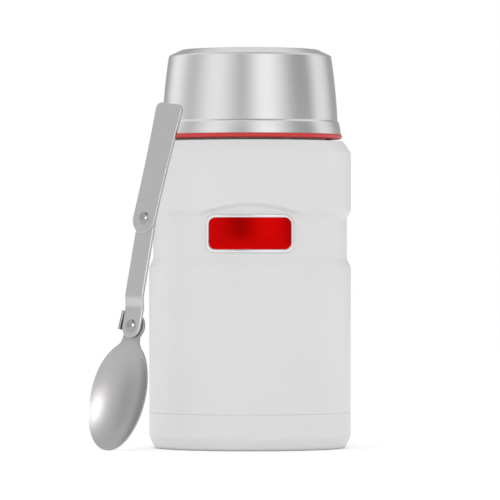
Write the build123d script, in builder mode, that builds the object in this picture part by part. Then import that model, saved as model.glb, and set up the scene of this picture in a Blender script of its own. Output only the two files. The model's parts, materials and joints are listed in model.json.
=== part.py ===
from build123d import *
import math
import os

# Insulated food jar: a vacuum jar with a painted body, a screw stopper with a spoon tray on top,
# a double-walled steel serving bowl that closes over it, and a folding spoon leant on the body.
# Millimetres. The jar's axis is Z and its foot stands on Z = 0. The badge faces -Y.

os.makedirs("parts", exist_ok=True)

# ----------------------------------------------------------------------------------------------
# Driving dimensions
# ----------------------------------------------------------------------------------------------

# Painted body
body_radius = 50.0
sheet = 0.6  # painted steel sheet
base_height = 17.7  # top of the pressed base cup, where the seam is
base_corner_height = 6.0
base_corner_inset = 2.8
foot_outer_inset = 5.4
foot_width = 6.6
foot_recess = 2.0
foot_rounding = 2.5
seam_bevel = 0.25  # each side of the seam groove
lower_wall_height = 71.9
waist_depth = 2.0
waist_lower_slope = 4.0
waist_height = 20.1
waist_upper_slope = 3.5
upper_wall_height = 29.0
shoulder_height = 6.3
shoulder_inset = 4.4
body_bend = 1.5  # outside rounding of the body's bends
neck_height = 6.6
neck_inset = 12.4  # from the body's wall

# Vacuum vessel inside the body
vessel_sheet = 0.5
vessel_floor_height = 9.5
vacuum_gap = 7.4  # between the body's wall and the vessel
vessel_shoulder_drop = 10.2  # below the start of the body's shoulder
vessel_shoulder_height = 11.0
vessel_floor_rounding = 12.0
vessel_bend = 4.0
mouth_inset = 2.6  # from the neck's outside
lip_thickness = 0.5
foil_gap = 0.1
foil_thickness = 0.2
foil_margin = 2.0
dimple_radius = 6.0
dimple_depth = 2.5
pump_hole_radius = 1.2
seal_radius = 3.6
seal_thickness = 1.2
getter_radius = 5.0
getter_thickness = 1.5

# Badge and its pocket
badge_width = 43.0
badge_height = 18.4
badge_corner = 4.5
badge_above_waist_floor = 3.2
badge_frame_border = 1.3
badge_frame_thickness = 0.9
badge_frame_depth = 0.5  # recess that takes the plate
badge_plate_thickness = 0.6
badge_adhesive_thickness = 0.1
badge_seat_gap = 0.01  # between the adhesive and the frame
badge_fit = 0.1
pocket_rise = 5.6  # of the pocket's arch over the waist's ceiling
pocket_slope = 0.75  # rise of the pocket's tilted ceiling per unit of depth

# Screw stopper
gasket_thickness = 1.3
gasket_overhang = 0.6  # beyond the neck
gasket_inner_gap = 0.4  # from the plug
plug_gap = 0.8  # from the mouth
plug_depth = 19.9
plug_wall = 2.0
plug_rounding = 3.0
foam_gap = 0.2
skirt_gap = 1.4  # room for the neck's thread
skirt_wall = 1.6
skirt_ledge_gap = 1.5
flange_thickness = 2.5
tray_rim_height = 8.6
tray_rim_wall = 2.2
tray_rim_inset = 1.8  # from the skirt's outside
flute_count = 24
flute_radius = 2.6
flute_depth = 0.7

# Serving bowl, upside down on the stopper
bowl_sheet = 0.6
bowl_gap = 0.4  # dark gap over the body's ledge
lip_ring_height = 2.3
lip_ring_proud = 0.5  # beyond the bowl's band
lip_ring_rounding = 0.9
band_height = 5.8
band_taper = 1.05
bowl_step = 0.9  # height of the step from the band to the wall
bowl_step_inset = 0.65
bowl_wall_height = 32.2
bowl_wall_taper = 3.2  # from the wall's foot to its top
bowl_bulge = 0.45  # of the wall's curve
bowl_crown_height = 3.1
bowl_crown_inset = 6.5
bowl_crown_rounding = 2.6
bowl_corner_rounding = 1.2
bowl_flat_width = 5.2  # from the crown to the recess
bowl_recess_depth = 0.8
bowl_recess_slope = 1.5
insert_gap = 0.6  # over the stopper's skirt, for its thread
insert_height = 8.8
insert_clearance = 0.15  # to the bowl's sheet
inner_bowl_sheet = 0.5
bowl_air_gap = 1.9
bowl_ceiling_gap = 1.2
inner_bowl_rounding = 5.0

# Folding spoon
spoon_yaw = 41.0  # degrees that the spoon's flat is turned from facing -Y
spoon_lean = 11.4  # degrees that its plane leans towards the jar
spoon_rest_gap = 0.4  # between the handle's back and the body's shoulder
spoon_offset = -20.1  # of the lower rivet across the flat
link_turn = 2.2  # degrees in the flat, from upright
handle_turn = 6.9
bowl_turn = 7.3
strip = 1.5  # steel thickness of handle and link
washer_thickness = 0.3
washer_width = 1.9
rivet_radius = 1.6
rivet_head_radius = 3.2
rivet_head_height = 1.4
rivet_tail_height = 1.0
rivet_fit = 0.05
pivot_clearance = 0.1
link_length = 53.0
link_width = 11.6
link_jog = 1.6  # set-back of the link's lower end
link_jog_end = 9.5
link_jog_start = 14.5
handle_length = 58.0
handle_top_width = 17.6
handle_end_width = 14.5
handle_waist = 0.5  # hollow of the handle's long sides
handle_corner = 3.4
strip_edge = 0.3  # broken edges
scoop_length = 54.6  # spoon's bowl, from its shoulder to its tip
scoop_width = 36.0
scoop_depth = 7.5
scoop_wall = 1.2
scoop_rim_rounding = 0.4
scoop_shoulder = 7.6  # from the rivet to the bowl's near end
neck_width = 10.2
neck_fillet = 7.0
neck_end_radius = 6.6
ear_thickness = 1.3
ear_top = 6.7
ear_bottom = 2.6
ear_height = 2.3
stop_clearance = 0.05

# ----------------------------------------------------------------------------------------------
# Heights and radii that follow from them
# ----------------------------------------------------------------------------------------------

waist_radius = body_radius - waist_depth
neck_radius = body_radius - neck_inset
mouth_radius = neck_radius - mouth_inset
waist_start = base_height + lower_wall_height
waist_floor = waist_start + waist_lower_slope
waist_ceiling = waist_floor + waist_height
waist_end = waist_ceiling + waist_upper_slope
shoulder_start = waist_end + upper_wall_height
ledge_height = shoulder_start + shoulder_height
shoulder_rim = body_radius - shoulder_inset
neck_top = ledge_height + neck_height
cutter_height = 2 * neck_top  # of cylinders centred on Z = 0 that trim the whole body

foot_outer = body_radius - foot_outer_inset
foot_inner = foot_outer - foot_width

vessel_radius = body_radius - sheet - vacuum_gap
vessel_shoulder = shoulder_start - vessel_shoulder_drop
vessel_neck = vessel_shoulder + vessel_shoulder_height
lip_top = neck_top + lip_thickness

plug_radius = mouth_radius - plug_gap
gasket_radius = neck_radius + gasket_overhang
flange_bottom = lip_top + gasket_thickness
flange_top = flange_bottom + flange_thickness
plug_bottom = flange_bottom - plug_depth
skirt_inner = neck_radius + skirt_gap
skirt_outer = skirt_inner + skirt_wall
skirt_bottom = ledge_height + skirt_ledge_gap
tray_rim_outer = skirt_outer - tray_rim_inset
tray_rim_inner = tray_rim_outer - tray_rim_wall
tray_rim_top = flange_top + tray_rim_height

lip_ring_radius = shoulder_rim
band_radius = lip_ring_radius - lip_ring_proud
bowl_mouth_radius = band_radius - band_taper - bowl_step_inset
bowl_top_radius = bowl_mouth_radius - bowl_wall_taper
lip_ring_bottom = ledge_height + bowl_gap
band_bottom = lip_ring_bottom + lip_ring_height
band_top = band_bottom + band_height
wall_bottom = band_top + bowl_step
wall_top = wall_bottom + bowl_wall_height
bowl_top = wall_top + bowl_crown_height
insert_inner = skirt_outer + insert_gap
insert_top = band_bottom + insert_height
inner_bowl_ceiling = bowl_top - bowl_recess_depth - bowl_sheet - bowl_ceiling_gap

handle_back = strip + washer_thickness
link_low_front = strip - link_jog
neck_front = -link_jog - washer_thickness
neck_back = neck_front - strip

# The spoon's bowl is a slice of a long spheroid: its cross-section is a circular arc.
scoop_radius = ((scoop_width / 2) ** 2 + scoop_depth**2) / (2 * scoop_depth)
scoop_rise = scoop_radius - scoop_depth
scoop_half_length = scoop_length / 2 * scoop_radius / (scoop_width / 2)
scoop_centre = -(scoop_shoulder + scoop_length / 2)

# ----------------------------------------------------------------------------------------------
# Directions and planes of the spoon
# ----------------------------------------------------------------------------------------------

yaw = math.radians(spoon_yaw)
lean = math.radians(spoon_lean)
across = Vector(math.cos(yaw), -math.sin(yaw), 0)
outward = Vector(-math.sin(yaw), -math.cos(yaw), 0)
normal = outward * math.cos(lean) + Vector(0, 0, math.sin(lean))
upslope = normal.cross(across)


def along(turn):
    """Direction in the spoon's flat, turned by degrees from upslope towards across."""
    return upslope * math.cos(math.radians(turn)) + across * math.sin(math.radians(turn))


def flat_plane(pivot, turn, layer=0.0):
    """Plane of the flat through a pivot, Y along the turned strip, lifted to a layer."""
    sideways = across * math.cos(math.radians(turn)) - upslope * math.sin(math.radians(turn))
    return Plane(origin=pivot + normal * layer, x_dir=sideways, z_dir=normal)


def edge_plane(pivot, turn, layer=0.0):
    """Plane seen from the strip's edge: X along the turned strip, Y along the normal."""
    flat = flat_plane(pivot, turn, layer)
    return Plane(origin=flat.origin, x_dir=flat.y_dir, z_dir=flat.x_dir)


# The rim of the spoon's bowl touches the table, and the handle's back lies on the shoulder.
scoop_reach = math.hypot(
    scoop_length / 2 * math.cos(math.radians(bowl_turn)),
    scoop_width / 2 * math.sin(math.radians(bowl_turn)),
)
lower_pivot_height = (
    math.cos(lean) * (scoop_reach - scoop_centre * math.cos(math.radians(bowl_turn)))
    - math.sin(lean) * neck_front
)
lower_pivot_distance = (
    body_radius
    + spoon_rest_gap
    + (shoulder_start - lower_pivot_height) * math.tan(lean)
    - handle_back / math.cos(lean)
)
lower_pivot = outward * lower_pivot_distance + across * spoon_offset
lower_pivot += Vector(0, 0, lower_pivot_height)
upper_pivot = lower_pivot + along(link_turn) * link_length


def runs_in_flat(direction):
    """Whether a direction lies in the spoon's flat rather than along its normal."""
    return abs(direction.dot(normal)) < math.cos(math.radians(spoon_yaw))


def rounded_outline(*corners):
    """Closed line through (x, y, rounding) corners, for the sketch that is open."""
    points = [(x, y) for x, y, rounding in corners]
    FilletPolyline(*points, radius=[rounding for x, y, rounding in corners], close=True)


def body_corners(inset):
    """Half section of the body from seam to neck, moved inwards by an inset."""
    wall = body_radius - inset
    waist = waist_radius - inset
    return (
        (0, base_height, 0),
        (wall, base_height, 0),
        (wall, waist_start, body_bend),
        (waist, waist_floor, body_bend),
        (waist, waist_ceiling, body_bend),
        (wall, waist_end, body_bend),
        (wall, shoulder_start - inset / 2, body_bend),
        (shoulder_rim - inset / 2, ledge_height - inset, sheet),
        (neck_radius - inset, ledge_height - inset, 0),
        (neck_radius - inset, neck_top, 0),
        (0, neck_top, 0),
    )


def pocket_corners(inset):
    """Side section of the badge's pocket, under its tilted ceiling, shrunk by an inset."""
    ceiling = waist_ceiling + pocket_rise - inset * math.hypot(1, pocket_slope)
    front = body_radius + waist_depth
    back = waist_radius / 2
    return (
        (-front, ceiling + (front - waist_radius) * pocket_slope, 0),
        (-front, waist_floor + body_bend, 0),
        (-back, waist_floor + body_bend, 0),
        (-back, ceiling + (back - waist_radius) * pocket_slope, 0),
    )


def rivet_outline(back, front):
    """Half section of a rivet round (0, y): tail under the back layer, dome on the front one."""
    Polyline(
        (0, front + rivet_head_height),
        (0, back - rivet_tail_height),
        (rivet_head_radius - rivet_tail_height, back - rivet_tail_height),
        (rivet_head_radius, back),
        (rivet_radius, back),
        (rivet_radius, front),
        (rivet_head_radius, front),
    )
    TangentArc((0, front + rivet_head_height), (rivet_head_radius, front), tangent=(1, 0))


# ----------------------------------------------------------------------------------------------
# Jar
# ----------------------------------------------------------------------------------------------

# Block that the badge's pocket takes out of the body, down to the waist's own radius.
with BuildPart() as pocket:
    with BuildSketch(Plane.YZ):
        with BuildLine():
            rounded_outline(*pocket_corners(0))
        make_face()
    extrude(amount=waist_radius, both=True)
    Cylinder(waist_radius, cutter_height, mode=Mode.SUBTRACT)

# The same block for the inside of the sheet, so that the wall keeps its thickness there.
with BuildPart() as pocket_inside:
    with BuildSketch(Plane.YZ):
        with BuildLine():
            rounded_outline(*pocket_corners(-sheet))
        make_face()
    extrude(amount=waist_radius, both=True)
    Cylinder(waist_radius - sheet, cutter_height, mode=Mode.SUBTRACT)

with BuildPart() as body_inside:
    with BuildSketch(Plane.XZ):
        with BuildLine():
            rounded_outline(*body_corners(sheet))
        make_face()
    revolve(axis=Axis.Z)
    add(pocket_inside.part, mode=Mode.SUBTRACT)

with BuildPart() as outer_shell:
    with BuildSketch(Plane.XZ):
        with BuildLine():
            rounded_outline(*body_corners(0))
        make_face()
    revolve(axis=Axis.Z)
    add(pocket.part, mode=Mode.SUBTRACT)
    add(body_inside.part, mode=Mode.SUBTRACT)
    lowest_edges = outer_shell.edges().filter_by(GeomType.CIRCLE).group_by(Axis.Z)[0]
    chamfer(lowest_edges.sort_by(SortBy.RADIUS)[-1], seam_bevel)

with BuildPart() as base_cup:
    with BuildSketch(Plane.XZ):
        with BuildLine():
            rounded_outline(
                (pump_hole_radius, foot_recess + dimple_depth, 0),
                (dimple_radius, foot_recess + dimple_depth, sheet),
                (dimple_radius + sheet, foot_recess, sheet),
                (foot_inner - foot_recess, foot_recess, sheet),
                (foot_inner, 0, sheet),
                (body_radius - base_corner_inset, 0, foot_rounding),
                (body_radius, base_corner_height, body_bend),
                (body_radius, base_height, 0),
                (body_radius - sheet, base_height, 0),
                (body_radius - sheet, base_corner_height, body_bend),
                (body_radius - base_corner_inset - sheet, sheet, foot_rounding - sheet),
                (foot_inner + sheet, sheet, sheet / 2),
                (foot_inner - foot_recess + sheet, foot_recess + sheet, sheet / 2),
                (dimple_radius + 2 * sheet, foot_recess + sheet, sheet / 2),
                (dimple_radius + sheet, foot_recess + dimple_depth + sheet, sheet / 2),
                (pump_hole_radius, foot_recess + dimple_depth + sheet, 0),
            )
        make_face()
    revolve(axis=Axis.Z)
    highest_edges = base_cup.edges().filter_by(GeomType.CIRCLE).group_by(Axis.Z)[-1]
    chamfer(highest_edges.sort_by(SortBy.RADIUS)[-1], seam_bevel)

# Brazed bead that closes the hole the air was pumped out of.
with BuildPart() as evacuation_seal:
    with BuildSketch(Plane.XZ):
        with BuildLine():
            seal_face = foot_recess + dimple_depth
            crown = (0, seal_face - seal_thickness)
            crown_arc = (seal_radius**2 + seal_thickness**2) / (2 * seal_thickness)
            RadiusArc(crown, (seal_radius, seal_face), crown_arc)
            Line((seal_radius, seal_face), (0, seal_face))
            Line((0, seal_face), crown)
        make_face()
    revolve(axis=Axis.Z)

with BuildPart() as inner_vessel:
    with BuildSketch(Plane.XZ):
        with BuildLine():
            rounded_outline(
                (0, vessel_floor_height, 0),
                (vessel_radius, vessel_floor_height, vessel_floor_rounding),
                (vessel_radius, vessel_shoulder, vessel_bend),
                (mouth_radius + vessel_sheet, vessel_neck, vessel_bend),
                (mouth_radius + vessel_sheet, neck_top, 0),
                (neck_radius, neck_top, 0),
                (neck_radius, lip_top, lip_thickness / 2),
                (mouth_radius, lip_top, lip_thickness / 2),
                (mouth_radius, vessel_neck, vessel_bend),
                (vessel_radius - vessel_sheet, vessel_shoulder, vessel_bend),
                (vessel_radius - vessel_sheet, vessel_floor_height + vessel_sheet,
                 vessel_floor_rounding - vessel_sheet),
                (0, vessel_floor_height + vessel_sheet, 0),
            )
        make_face()
    revolve(axis=Axis.Z)

# Bright foil wrapped round the vessel, which throws heat back.
with BuildPart() as foil_shield:
    with BuildSketch(Plane.XY.offset(vessel_floor_height + vessel_floor_rounding + foil_margin)):
        Circle(vessel_radius + foil_gap + foil_thickness)
        Circle(vessel_radius + foil_gap, mode=Mode.SUBTRACT)
    extrude(amount=vessel_shoulder - vessel_floor_height - vessel_floor_rounding - 2 * foil_margin)

# Getter pill fixed under the vessel, which takes up the last gas.
with BuildPart() as getter:
    with BuildSketch(Plane.XY.offset(vessel_floor_height)):
        Circle(getter_radius)
    extrude(amount=-getter_thickness)
    fillet(getter.faces().sort_by(Axis.Z)[0].edges(), getter_thickness / 3)

# ----------------------------------------------------------------------------------------------
# Badge: a curved frame glued in the pocket, with a plate let into it
# ----------------------------------------------------------------------------------------------

badge_centre = waist_floor + badge_above_waist_floor + badge_height / 2
badge_back = waist_radius + badge_adhesive_thickness + badge_seat_gap
badge_front = badge_back + badge_frame_thickness
badge_plane = Plane(origin=(0, 0, badge_centre), x_dir=(1, 0, 0), z_dir=(0, -1, 0))
plate_width = badge_width - 2 * badge_frame_border
plate_height = badge_height - 2 * badge_frame_border
plate_corner = badge_corner - badge_frame_border
plate_back = badge_front - badge_frame_depth

with BuildPart() as badge_adhesive:
    with BuildSketch(badge_plane):
        RectangleRounded(plate_width + badge_frame_border, plate_height + badge_frame_border, plate_corner)
    extrude(amount=body_radius)
    Cylinder(badge_back - badge_seat_gap, cutter_height, mode=Mode.INTERSECT)
    Cylinder(waist_radius, cutter_height, mode=Mode.SUBTRACT)

# Recess in the frame that takes the plate.
with BuildPart() as plate_room:
    with BuildSketch(badge_plane):
        RectangleRounded(plate_width, plate_height, plate_corner)
    extrude(amount=2 * body_radius)
    Cylinder(plate_back, cutter_height, mode=Mode.SUBTRACT)

with BuildPart() as badge_frame:
    with BuildSketch(badge_plane):
        RectangleRounded(badge_width, badge_height, badge_corner)
    extrude(amount=body_radius)
    Cylinder(badge_front, cutter_height, mode=Mode.INTERSECT)
    Cylinder(badge_back, cutter_height, mode=Mode.SUBTRACT)
    add(plate_room.part, mode=Mode.SUBTRACT)

with BuildPart() as badge_plate:
    with BuildSketch(badge_plane):
        RectangleRounded(plate_width - 2 * badge_fit, plate_height - 2 * badge_fit, plate_corner - badge_fit)
    extrude(amount=body_radius)
    Cylinder(plate_back + badge_plate_thickness, cutter_height, mode=Mode.INTERSECT)
    Cylinder(plate_back, cutter_height, mode=Mode.SUBTRACT)

# ----------------------------------------------------------------------------------------------
# Stopper
# ----------------------------------------------------------------------------------------------

with BuildPart() as stopper_gasket:
    with BuildSketch(Plane.XZ):
        with BuildLine():
            rounded_outline(
                (plug_radius + gasket_inner_gap, lip_top, 0),
                (gasket_radius, lip_top, gasket_thickness / 4),
                (gasket_radius, flange_bottom, gasket_thickness / 4),
                (plug_radius + gasket_inner_gap, flange_bottom, 0),
            )
        make_face()
    revolve(axis=Axis.Z)

with BuildPart() as stopper_top:
    with BuildSketch(Plane.XZ):
        with BuildLine():
            rounded_outline(
                (0, flange_bottom, 0),
                (skirt_inner, flange_bottom, 0),
                (skirt_inner, skirt_bottom, skirt_wall / 4),
                (skirt_outer, skirt_bottom, skirt_wall / 4),
                (skirt_outer, flange_top, skirt_wall / 2),
                (tray_rim_outer, flange_top, 0),
                (tray_rim_outer, tray_rim_top, tray_rim_wall / 3),
                (tray_rim_inner, tray_rim_top, tray_rim_wall / 3),
                (tray_rim_inner, flange_top, tray_rim_wall / 2),
                (0, flange_top, 0),
            )
        make_face()
    revolve(axis=Axis.Z)
    # Finger flutes round the tray's rim.
    with BuildSketch(Plane.XY.offset(flange_top)):
        with PolarLocations(tray_rim_outer + flute_radius - flute_depth, flute_count):
            Circle(flute_radius)
    extrude(amount=tray_rim_height - tray_rim_wall / 3, mode=Mode.SUBTRACT)

with BuildPart() as stopper_plug:
    with BuildSketch(Plane.XZ):
        with BuildLine():
            rounded_outline(
                (0, plug_bottom, 0),
                (plug_radius, plug_bottom, plug_rounding),
                (plug_radius, flange_bottom, 0),
                (plug_radius - plug_wall, flange_bottom, 0),
                (plug_radius - plug_wall, plug_bottom + plug_wall, plug_rounding - plug_wall),
                (0, plug_bottom + plug_wall, 0),
            )
        make_face()
    revolve(axis=Axis.Z)

with BuildPart() as stopper_foam:
    with BuildSketch(Plane.XY.offset(plug_bottom + plug_wall + foam_gap)):
        Circle(plug_radius - plug_wall - foam_gap)
    extrude(amount=plug_depth - plug_wall - 2 * foam_gap)
    fillet(stopper_foam.faces().sort_by(Axis.Z)[0].edges(), plug_rounding - plug_wall)

# ----------------------------------------------------------------------------------------------
# Serving bowl
# ----------------------------------------------------------------------------------------------

with BuildPart() as bowl_lip_ring:
    with BuildSketch(Plane.XZ):
        with BuildLine():
            rounded_outline(
                (insert_inner, lip_ring_bottom, lip_ring_rounding / 2),
                (lip_ring_radius, lip_ring_bottom, lip_ring_rounding),
                (lip_ring_radius, band_bottom, lip_ring_rounding),
                (insert_inner, band_bottom, 0),
            )
        make_face()
    revolve(axis=Axis.Z)

band_slope = 2 / 3 * band_taper / band_height
wall_middle = ((bowl_mouth_radius + bowl_top_radius) / 2 + bowl_bulge, (wall_bottom + wall_top) / 2)
crown_radius = bowl_top_radius - bowl_crown_inset
recess_edge = crown_radius - bowl_flat_width
recess_floor = bowl_top - bowl_recess_depth

with BuildPart() as bowl_outer_shell:
    with BuildSketch(Plane.XZ) as bowl_section:
        with BuildLine():
            band = FilletPolyline(
                (band_radius + bowl_sheet * band_slope, band_bottom - bowl_sheet),
                (band_radius - band_height / 2 * band_slope, band_bottom + band_height / 2),
                (band_radius - band_taper, band_top),
                (bowl_mouth_radius, wall_bottom),
                radius=[band_height, 2 * bowl_sheet],
            )
            wall = ThreePointArc(band @ 1, wall_middle, (bowl_top_radius, wall_top))
            FilletPolyline(
                wall @ 1,
                (crown_radius, bowl_top),
                (recess_edge, bowl_top),
                (recess_edge - bowl_recess_slope, recess_floor),
                (0, recess_floor),
                radius=[bowl_crown_rounding, bowl_recess_depth / 2, bowl_recess_depth / 2],
            )
            offset(amount=bowl_sheet, side=Side.LEFT, kind=Kind.INTERSECTION)
        make_face()
        corner_band = (wall_top - 2 * bowl_sheet, wall_top + bowl_sheet)
        corners = bowl_section.vertices().filter_by_position(Axis.Y, *corner_band)
        outer_corner, inner_corner = corners.sort_by(Axis.X, reverse=True)[:2]
        fillet(outer_corner, bowl_corner_rounding)
        fillet(inner_corner, bowl_corner_rounding - bowl_sheet)
    revolve(axis=Axis.Z)
    split(bisect_by=Plane.XY.offset(band_bottom))

inner_wall_foot = bowl_mouth_radius - bowl_sheet - bowl_air_gap
inner_wall_head = bowl_top_radius - bowl_sheet - bowl_air_gap
inner_lip_radius = bowl_mouth_radius - bowl_sheet - insert_clearance
inner_ceiling_face = inner_bowl_ceiling - inner_bowl_sheet

with BuildPart() as bowl_inner_shell:
    with BuildSketch(Plane.XZ):
        with BuildLine():
            rounded_outline(
                (inner_wall_foot - inner_bowl_sheet, insert_top, 0),
                (inner_lip_radius, insert_top, 0),
                (inner_lip_radius, insert_top + inner_bowl_sheet, 0),
                (inner_wall_foot, insert_top + inner_bowl_sheet, inner_bowl_sheet),
                (inner_wall_head, inner_bowl_ceiling, inner_bowl_rounding + inner_bowl_sheet),
                (0, inner_bowl_ceiling, 0),
                (0, inner_ceiling_face, 0),
                (inner_wall_head - inner_bowl_sheet, inner_ceiling_face, inner_bowl_rounding),
            )
        make_face()
    revolve(axis=Axis.Z)

with BuildPart() as bowl_thread_insert:
    with BuildSketch(Plane.XZ):
        with BuildLine():
            room = bowl_sheet + insert_clearance
            rounded_outline(
                (insert_inner, band_bottom, 0),
                (band_radius - band_taper - room, band_bottom, 0),
                (band_radius - band_taper - room, band_top - bowl_sheet, 0),
                (inner_lip_radius - insert_clearance, wall_bottom - bowl_sheet / 2, 0),
                (inner_lip_radius - insert_clearance, insert_top, 0),
                (insert_inner, insert_top, 0),
            )
        make_face()
    revolve(axis=Axis.Z)

# ----------------------------------------------------------------------------------------------
# Folding spoon
# ----------------------------------------------------------------------------------------------

half_top = handle_top_width / 2
half_end = handle_end_width / 2
half_middle = (half_top + half_end) / 2 - handle_waist

with BuildPart() as spoon_handle:
    with BuildSketch(flat_plane(upper_pivot, handle_turn, handle_back)) as handle_flat:
        with BuildLine():
            ThreePointArc((half_end, 0), (half_middle, handle_length / 2), (half_top, handle_length))
            Line((half_top, handle_length), (-half_top, handle_length))
            ThreePointArc((-half_top, handle_length), (-half_middle, handle_length / 2), (-half_end, 0))
            ThreePointArc((-half_end, 0), (0, -half_end), (half_end, 0))
        make_face()
        fillet(handle_flat.vertices().group_by(Axis.Y)[-1], handle_corner)
        Circle(rivet_radius + pivot_clearance, mode=Mode.SUBTRACT)
    extrude(amount=strip)
    front_and_back = spoon_handle.faces().filter_by(GeomType.PLANE).sort_by(SortBy.AREA)[-2:]
    fillet([face.outer_wire().edges() for face in front_and_back], strip_edge)

with BuildPart() as spoon_link:
    with BuildSketch(flat_plane(lower_pivot, link_turn, strip)):
        with Locations((0, link_length / 2)):
            SlotOverall(link_length + link_width, link_width, rotation=90)
        with Locations((0, 0), (0, link_length)):
            Circle(rivet_radius + rivet_fit, mode=Mode.SUBTRACT)
    extrude(amount=-strip - link_jog)
    # The jog brings the lower end back, clear of the folded handle.
    with BuildSketch(edge_plane(lower_pivot, link_turn)):
        with BuildLine():
            rounded_outline(
                (-link_width, -link_jog, 0),
                (link_jog_end, -link_jog, strip),
                (link_jog_start, 0, 2 * strip),
                (link_length + link_width, 0, 0),
                (link_length + link_width, strip, 0),
                (link_jog_start, strip, strip),
                (link_jog_end, link_low_front, 2 * strip),
                (-link_width, link_low_front, 0),
            )
        make_face()
    extrude(amount=link_width, both=True, mode=Mode.INTERSECT)
    # Its edges are broken over the jog and round both ends, but not in the rivet holes.
    border = spoon_link.faces().filter_by(lambda face: runs_in_flat(face.normal_at()))
    border_edges = border.sort_by(SortBy.AREA)[-4:].edges()
    fillet(border_edges.filter_by(lambda edge: runs_in_flat(edge.tangent_at())), strip_edge)

relative_turn = math.radians(bowl_turn - link_turn)
ear_face = link_width / 2 / math.cos(relative_turn) + ear_top * math.tan(relative_turn) + stop_clearance
ear_back = ear_face + ear_thickness
ear_tab_height = ear_top + ear_bottom - washer_width
scoop_plane = flat_plane(lower_pivot, bowl_turn, neck_front)
scoop_axis = Axis(origin=scoop_plane.origin + normal * scoop_rise, direction=scoop_plane.y_dir)

# Room inside the spoon's bowl.
with BuildPart() as scoop_hollow:
    with BuildSketch(scoop_plane.offset(scoop_rise)):
        with Locations((0, scoop_centre)):
            Ellipse(scoop_radius - scoop_wall, scoop_half_length - scoop_wall)
        split(bisect_by=Plane.YZ)
    revolve(axis=scoop_axis)

with BuildPart() as spoon_bowl:
    with BuildSketch(scoop_plane.offset(scoop_rise)):
        with Locations((0, scoop_centre)):
            Ellipse(scoop_radius, scoop_half_length)
        split(bisect_by=Plane.YZ)
    revolve(axis=scoop_axis)
    split(bisect_by=scoop_plane, keep=Keep.BOTTOM)
    # Flat neck with its rounded end, flared into the bowl.
    with BuildSketch(scoop_plane) as neck:
        with Locations((0, scoop_centre)):
            Ellipse(scoop_width / 2, scoop_length / 2)
        with Locations((0, scoop_centre / 2)):
            Rectangle(neck_width, -scoop_centre)
        junction = neck.vertices().filter_by_position(Axis.Y, scoop_centre, -neck_end_radius)
        fillet(junction.sort_by(Axis.Y)[-2:], neck_fillet)
        Circle(neck_end_radius)
        with Locations((-ear_back, -ear_bottom)):
            Rectangle(ear_back, ear_tab_height, align=(Align.MIN, Align.MIN))
        with Locations((0, -2 * scoop_shoulder)):
            Rectangle(2 * scoop_width, 2 * scoop_length, align=(Align.CENTER, Align.MAX), mode=Mode.SUBTRACT)
    extrude(amount=-strip)
    add(scoop_hollow.part, mode=Mode.SUBTRACT)
    # Stop ear, bent up beside the link.
    with BuildSketch(scoop_plane.offset(-strip)):
        with Locations((-ear_back, -ear_bottom)):
            Rectangle(ear_thickness, ear_top + ear_bottom, align=(Align.MIN, Align.MIN))
    extrude(amount=strip + ear_height)
    rim_face = spoon_bowl.faces().filter_by(scoop_plane).sort_by(SortBy.AREA)[-1]
    fillet(rim_face.inner_wires()[0].edges(), scoop_rim_rounding)
    with BuildSketch(scoop_plane):
        Circle(rivet_radius + pivot_clearance)
    extrude(amount=-strip, mode=Mode.SUBTRACT)

with BuildPart() as lower_rivet:
    with BuildSketch(edge_plane(lower_pivot, link_turn)):
        with BuildLine():
            rivet_outline(neck_back, link_low_front)
        make_face()
    revolve(axis=Axis(origin=lower_pivot, direction=normal))

with BuildPart() as upper_rivet:
    with BuildSketch(edge_plane(upper_pivot, link_turn)):
        with BuildLine():
            rivet_outline(0, handle_back + strip)
        make_face()
    revolve(axis=Axis(origin=upper_pivot, direction=normal))

with BuildPart() as lower_washer:
    with BuildSketch(flat_plane(lower_pivot, link_turn, neck_front)):
        Circle(rivet_radius + rivet_fit + washer_width)
        Circle(rivet_radius + rivet_fit, mode=Mode.SUBTRACT)
    extrude(amount=washer_thickness)

with BuildPart() as upper_washer:
    with BuildSketch(flat_plane(upper_pivot, link_turn, strip)):
        Circle(rivet_radius + rivet_fit + washer_width)
        Circle(rivet_radius + rivet_fit, mode=Mode.SUBTRACT)
    extrude(amount=washer_thickness)

# ----------------------------------------------------------------------------------------------
# Labels and files
# ----------------------------------------------------------------------------------------------

pieces = {
    "outer_shell": outer_shell,
    "base_cup": base_cup,
    "evacuation_seal": evacuation_seal,
    "inner_vessel": inner_vessel,
    "foil_shield": foil_shield,
    "getter": getter,
    "badge_adhesive": badge_adhesive,
    "badge_frame": badge_frame,
    "badge_plate": badge_plate,
    "stopper_gasket": stopper_gasket,
    "stopper_top": stopper_top,
    "stopper_plug": stopper_plug,
    "stopper_foam": stopper_foam,
    "bowl_lip_ring": bowl_lip_ring,
    "bowl_outer_shell": bowl_outer_shell,
    "bowl_inner_shell": bowl_inner_shell,
    "bowl_thread_insert": bowl_thread_insert,
    "spoon_handle": spoon_handle,
    "spoon_link": spoon_link,
    "spoon_bowl": spoon_bowl,
    "lower_rivet": lower_rivet,
    "upper_rivet": upper_rivet,
    "lower_washer": lower_washer,
    "upper_washer": upper_washer,
}

for name, piece in pieces.items():
    piece.part.label = name
    export_step(piece.part, f"parts/{name}.step")
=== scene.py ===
"""Looks of an insulated food jar.

The jar has a powder-coated body with a badge, a screw stopper with a tray, a brushed steel serving bowl
that closes over it, and a folding spoon that leans on the body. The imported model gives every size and
place. Lengths are in metres, Z is the jar's axis and the badge faces -Y.
"""

import json
import logging
import math
from dataclasses import dataclass
from enum import Enum
from functools import cached_property

import bpy
from mathutils import Euler, Matrix, Vector
from mathutils.geometry import delaunay_2d_cdt


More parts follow.
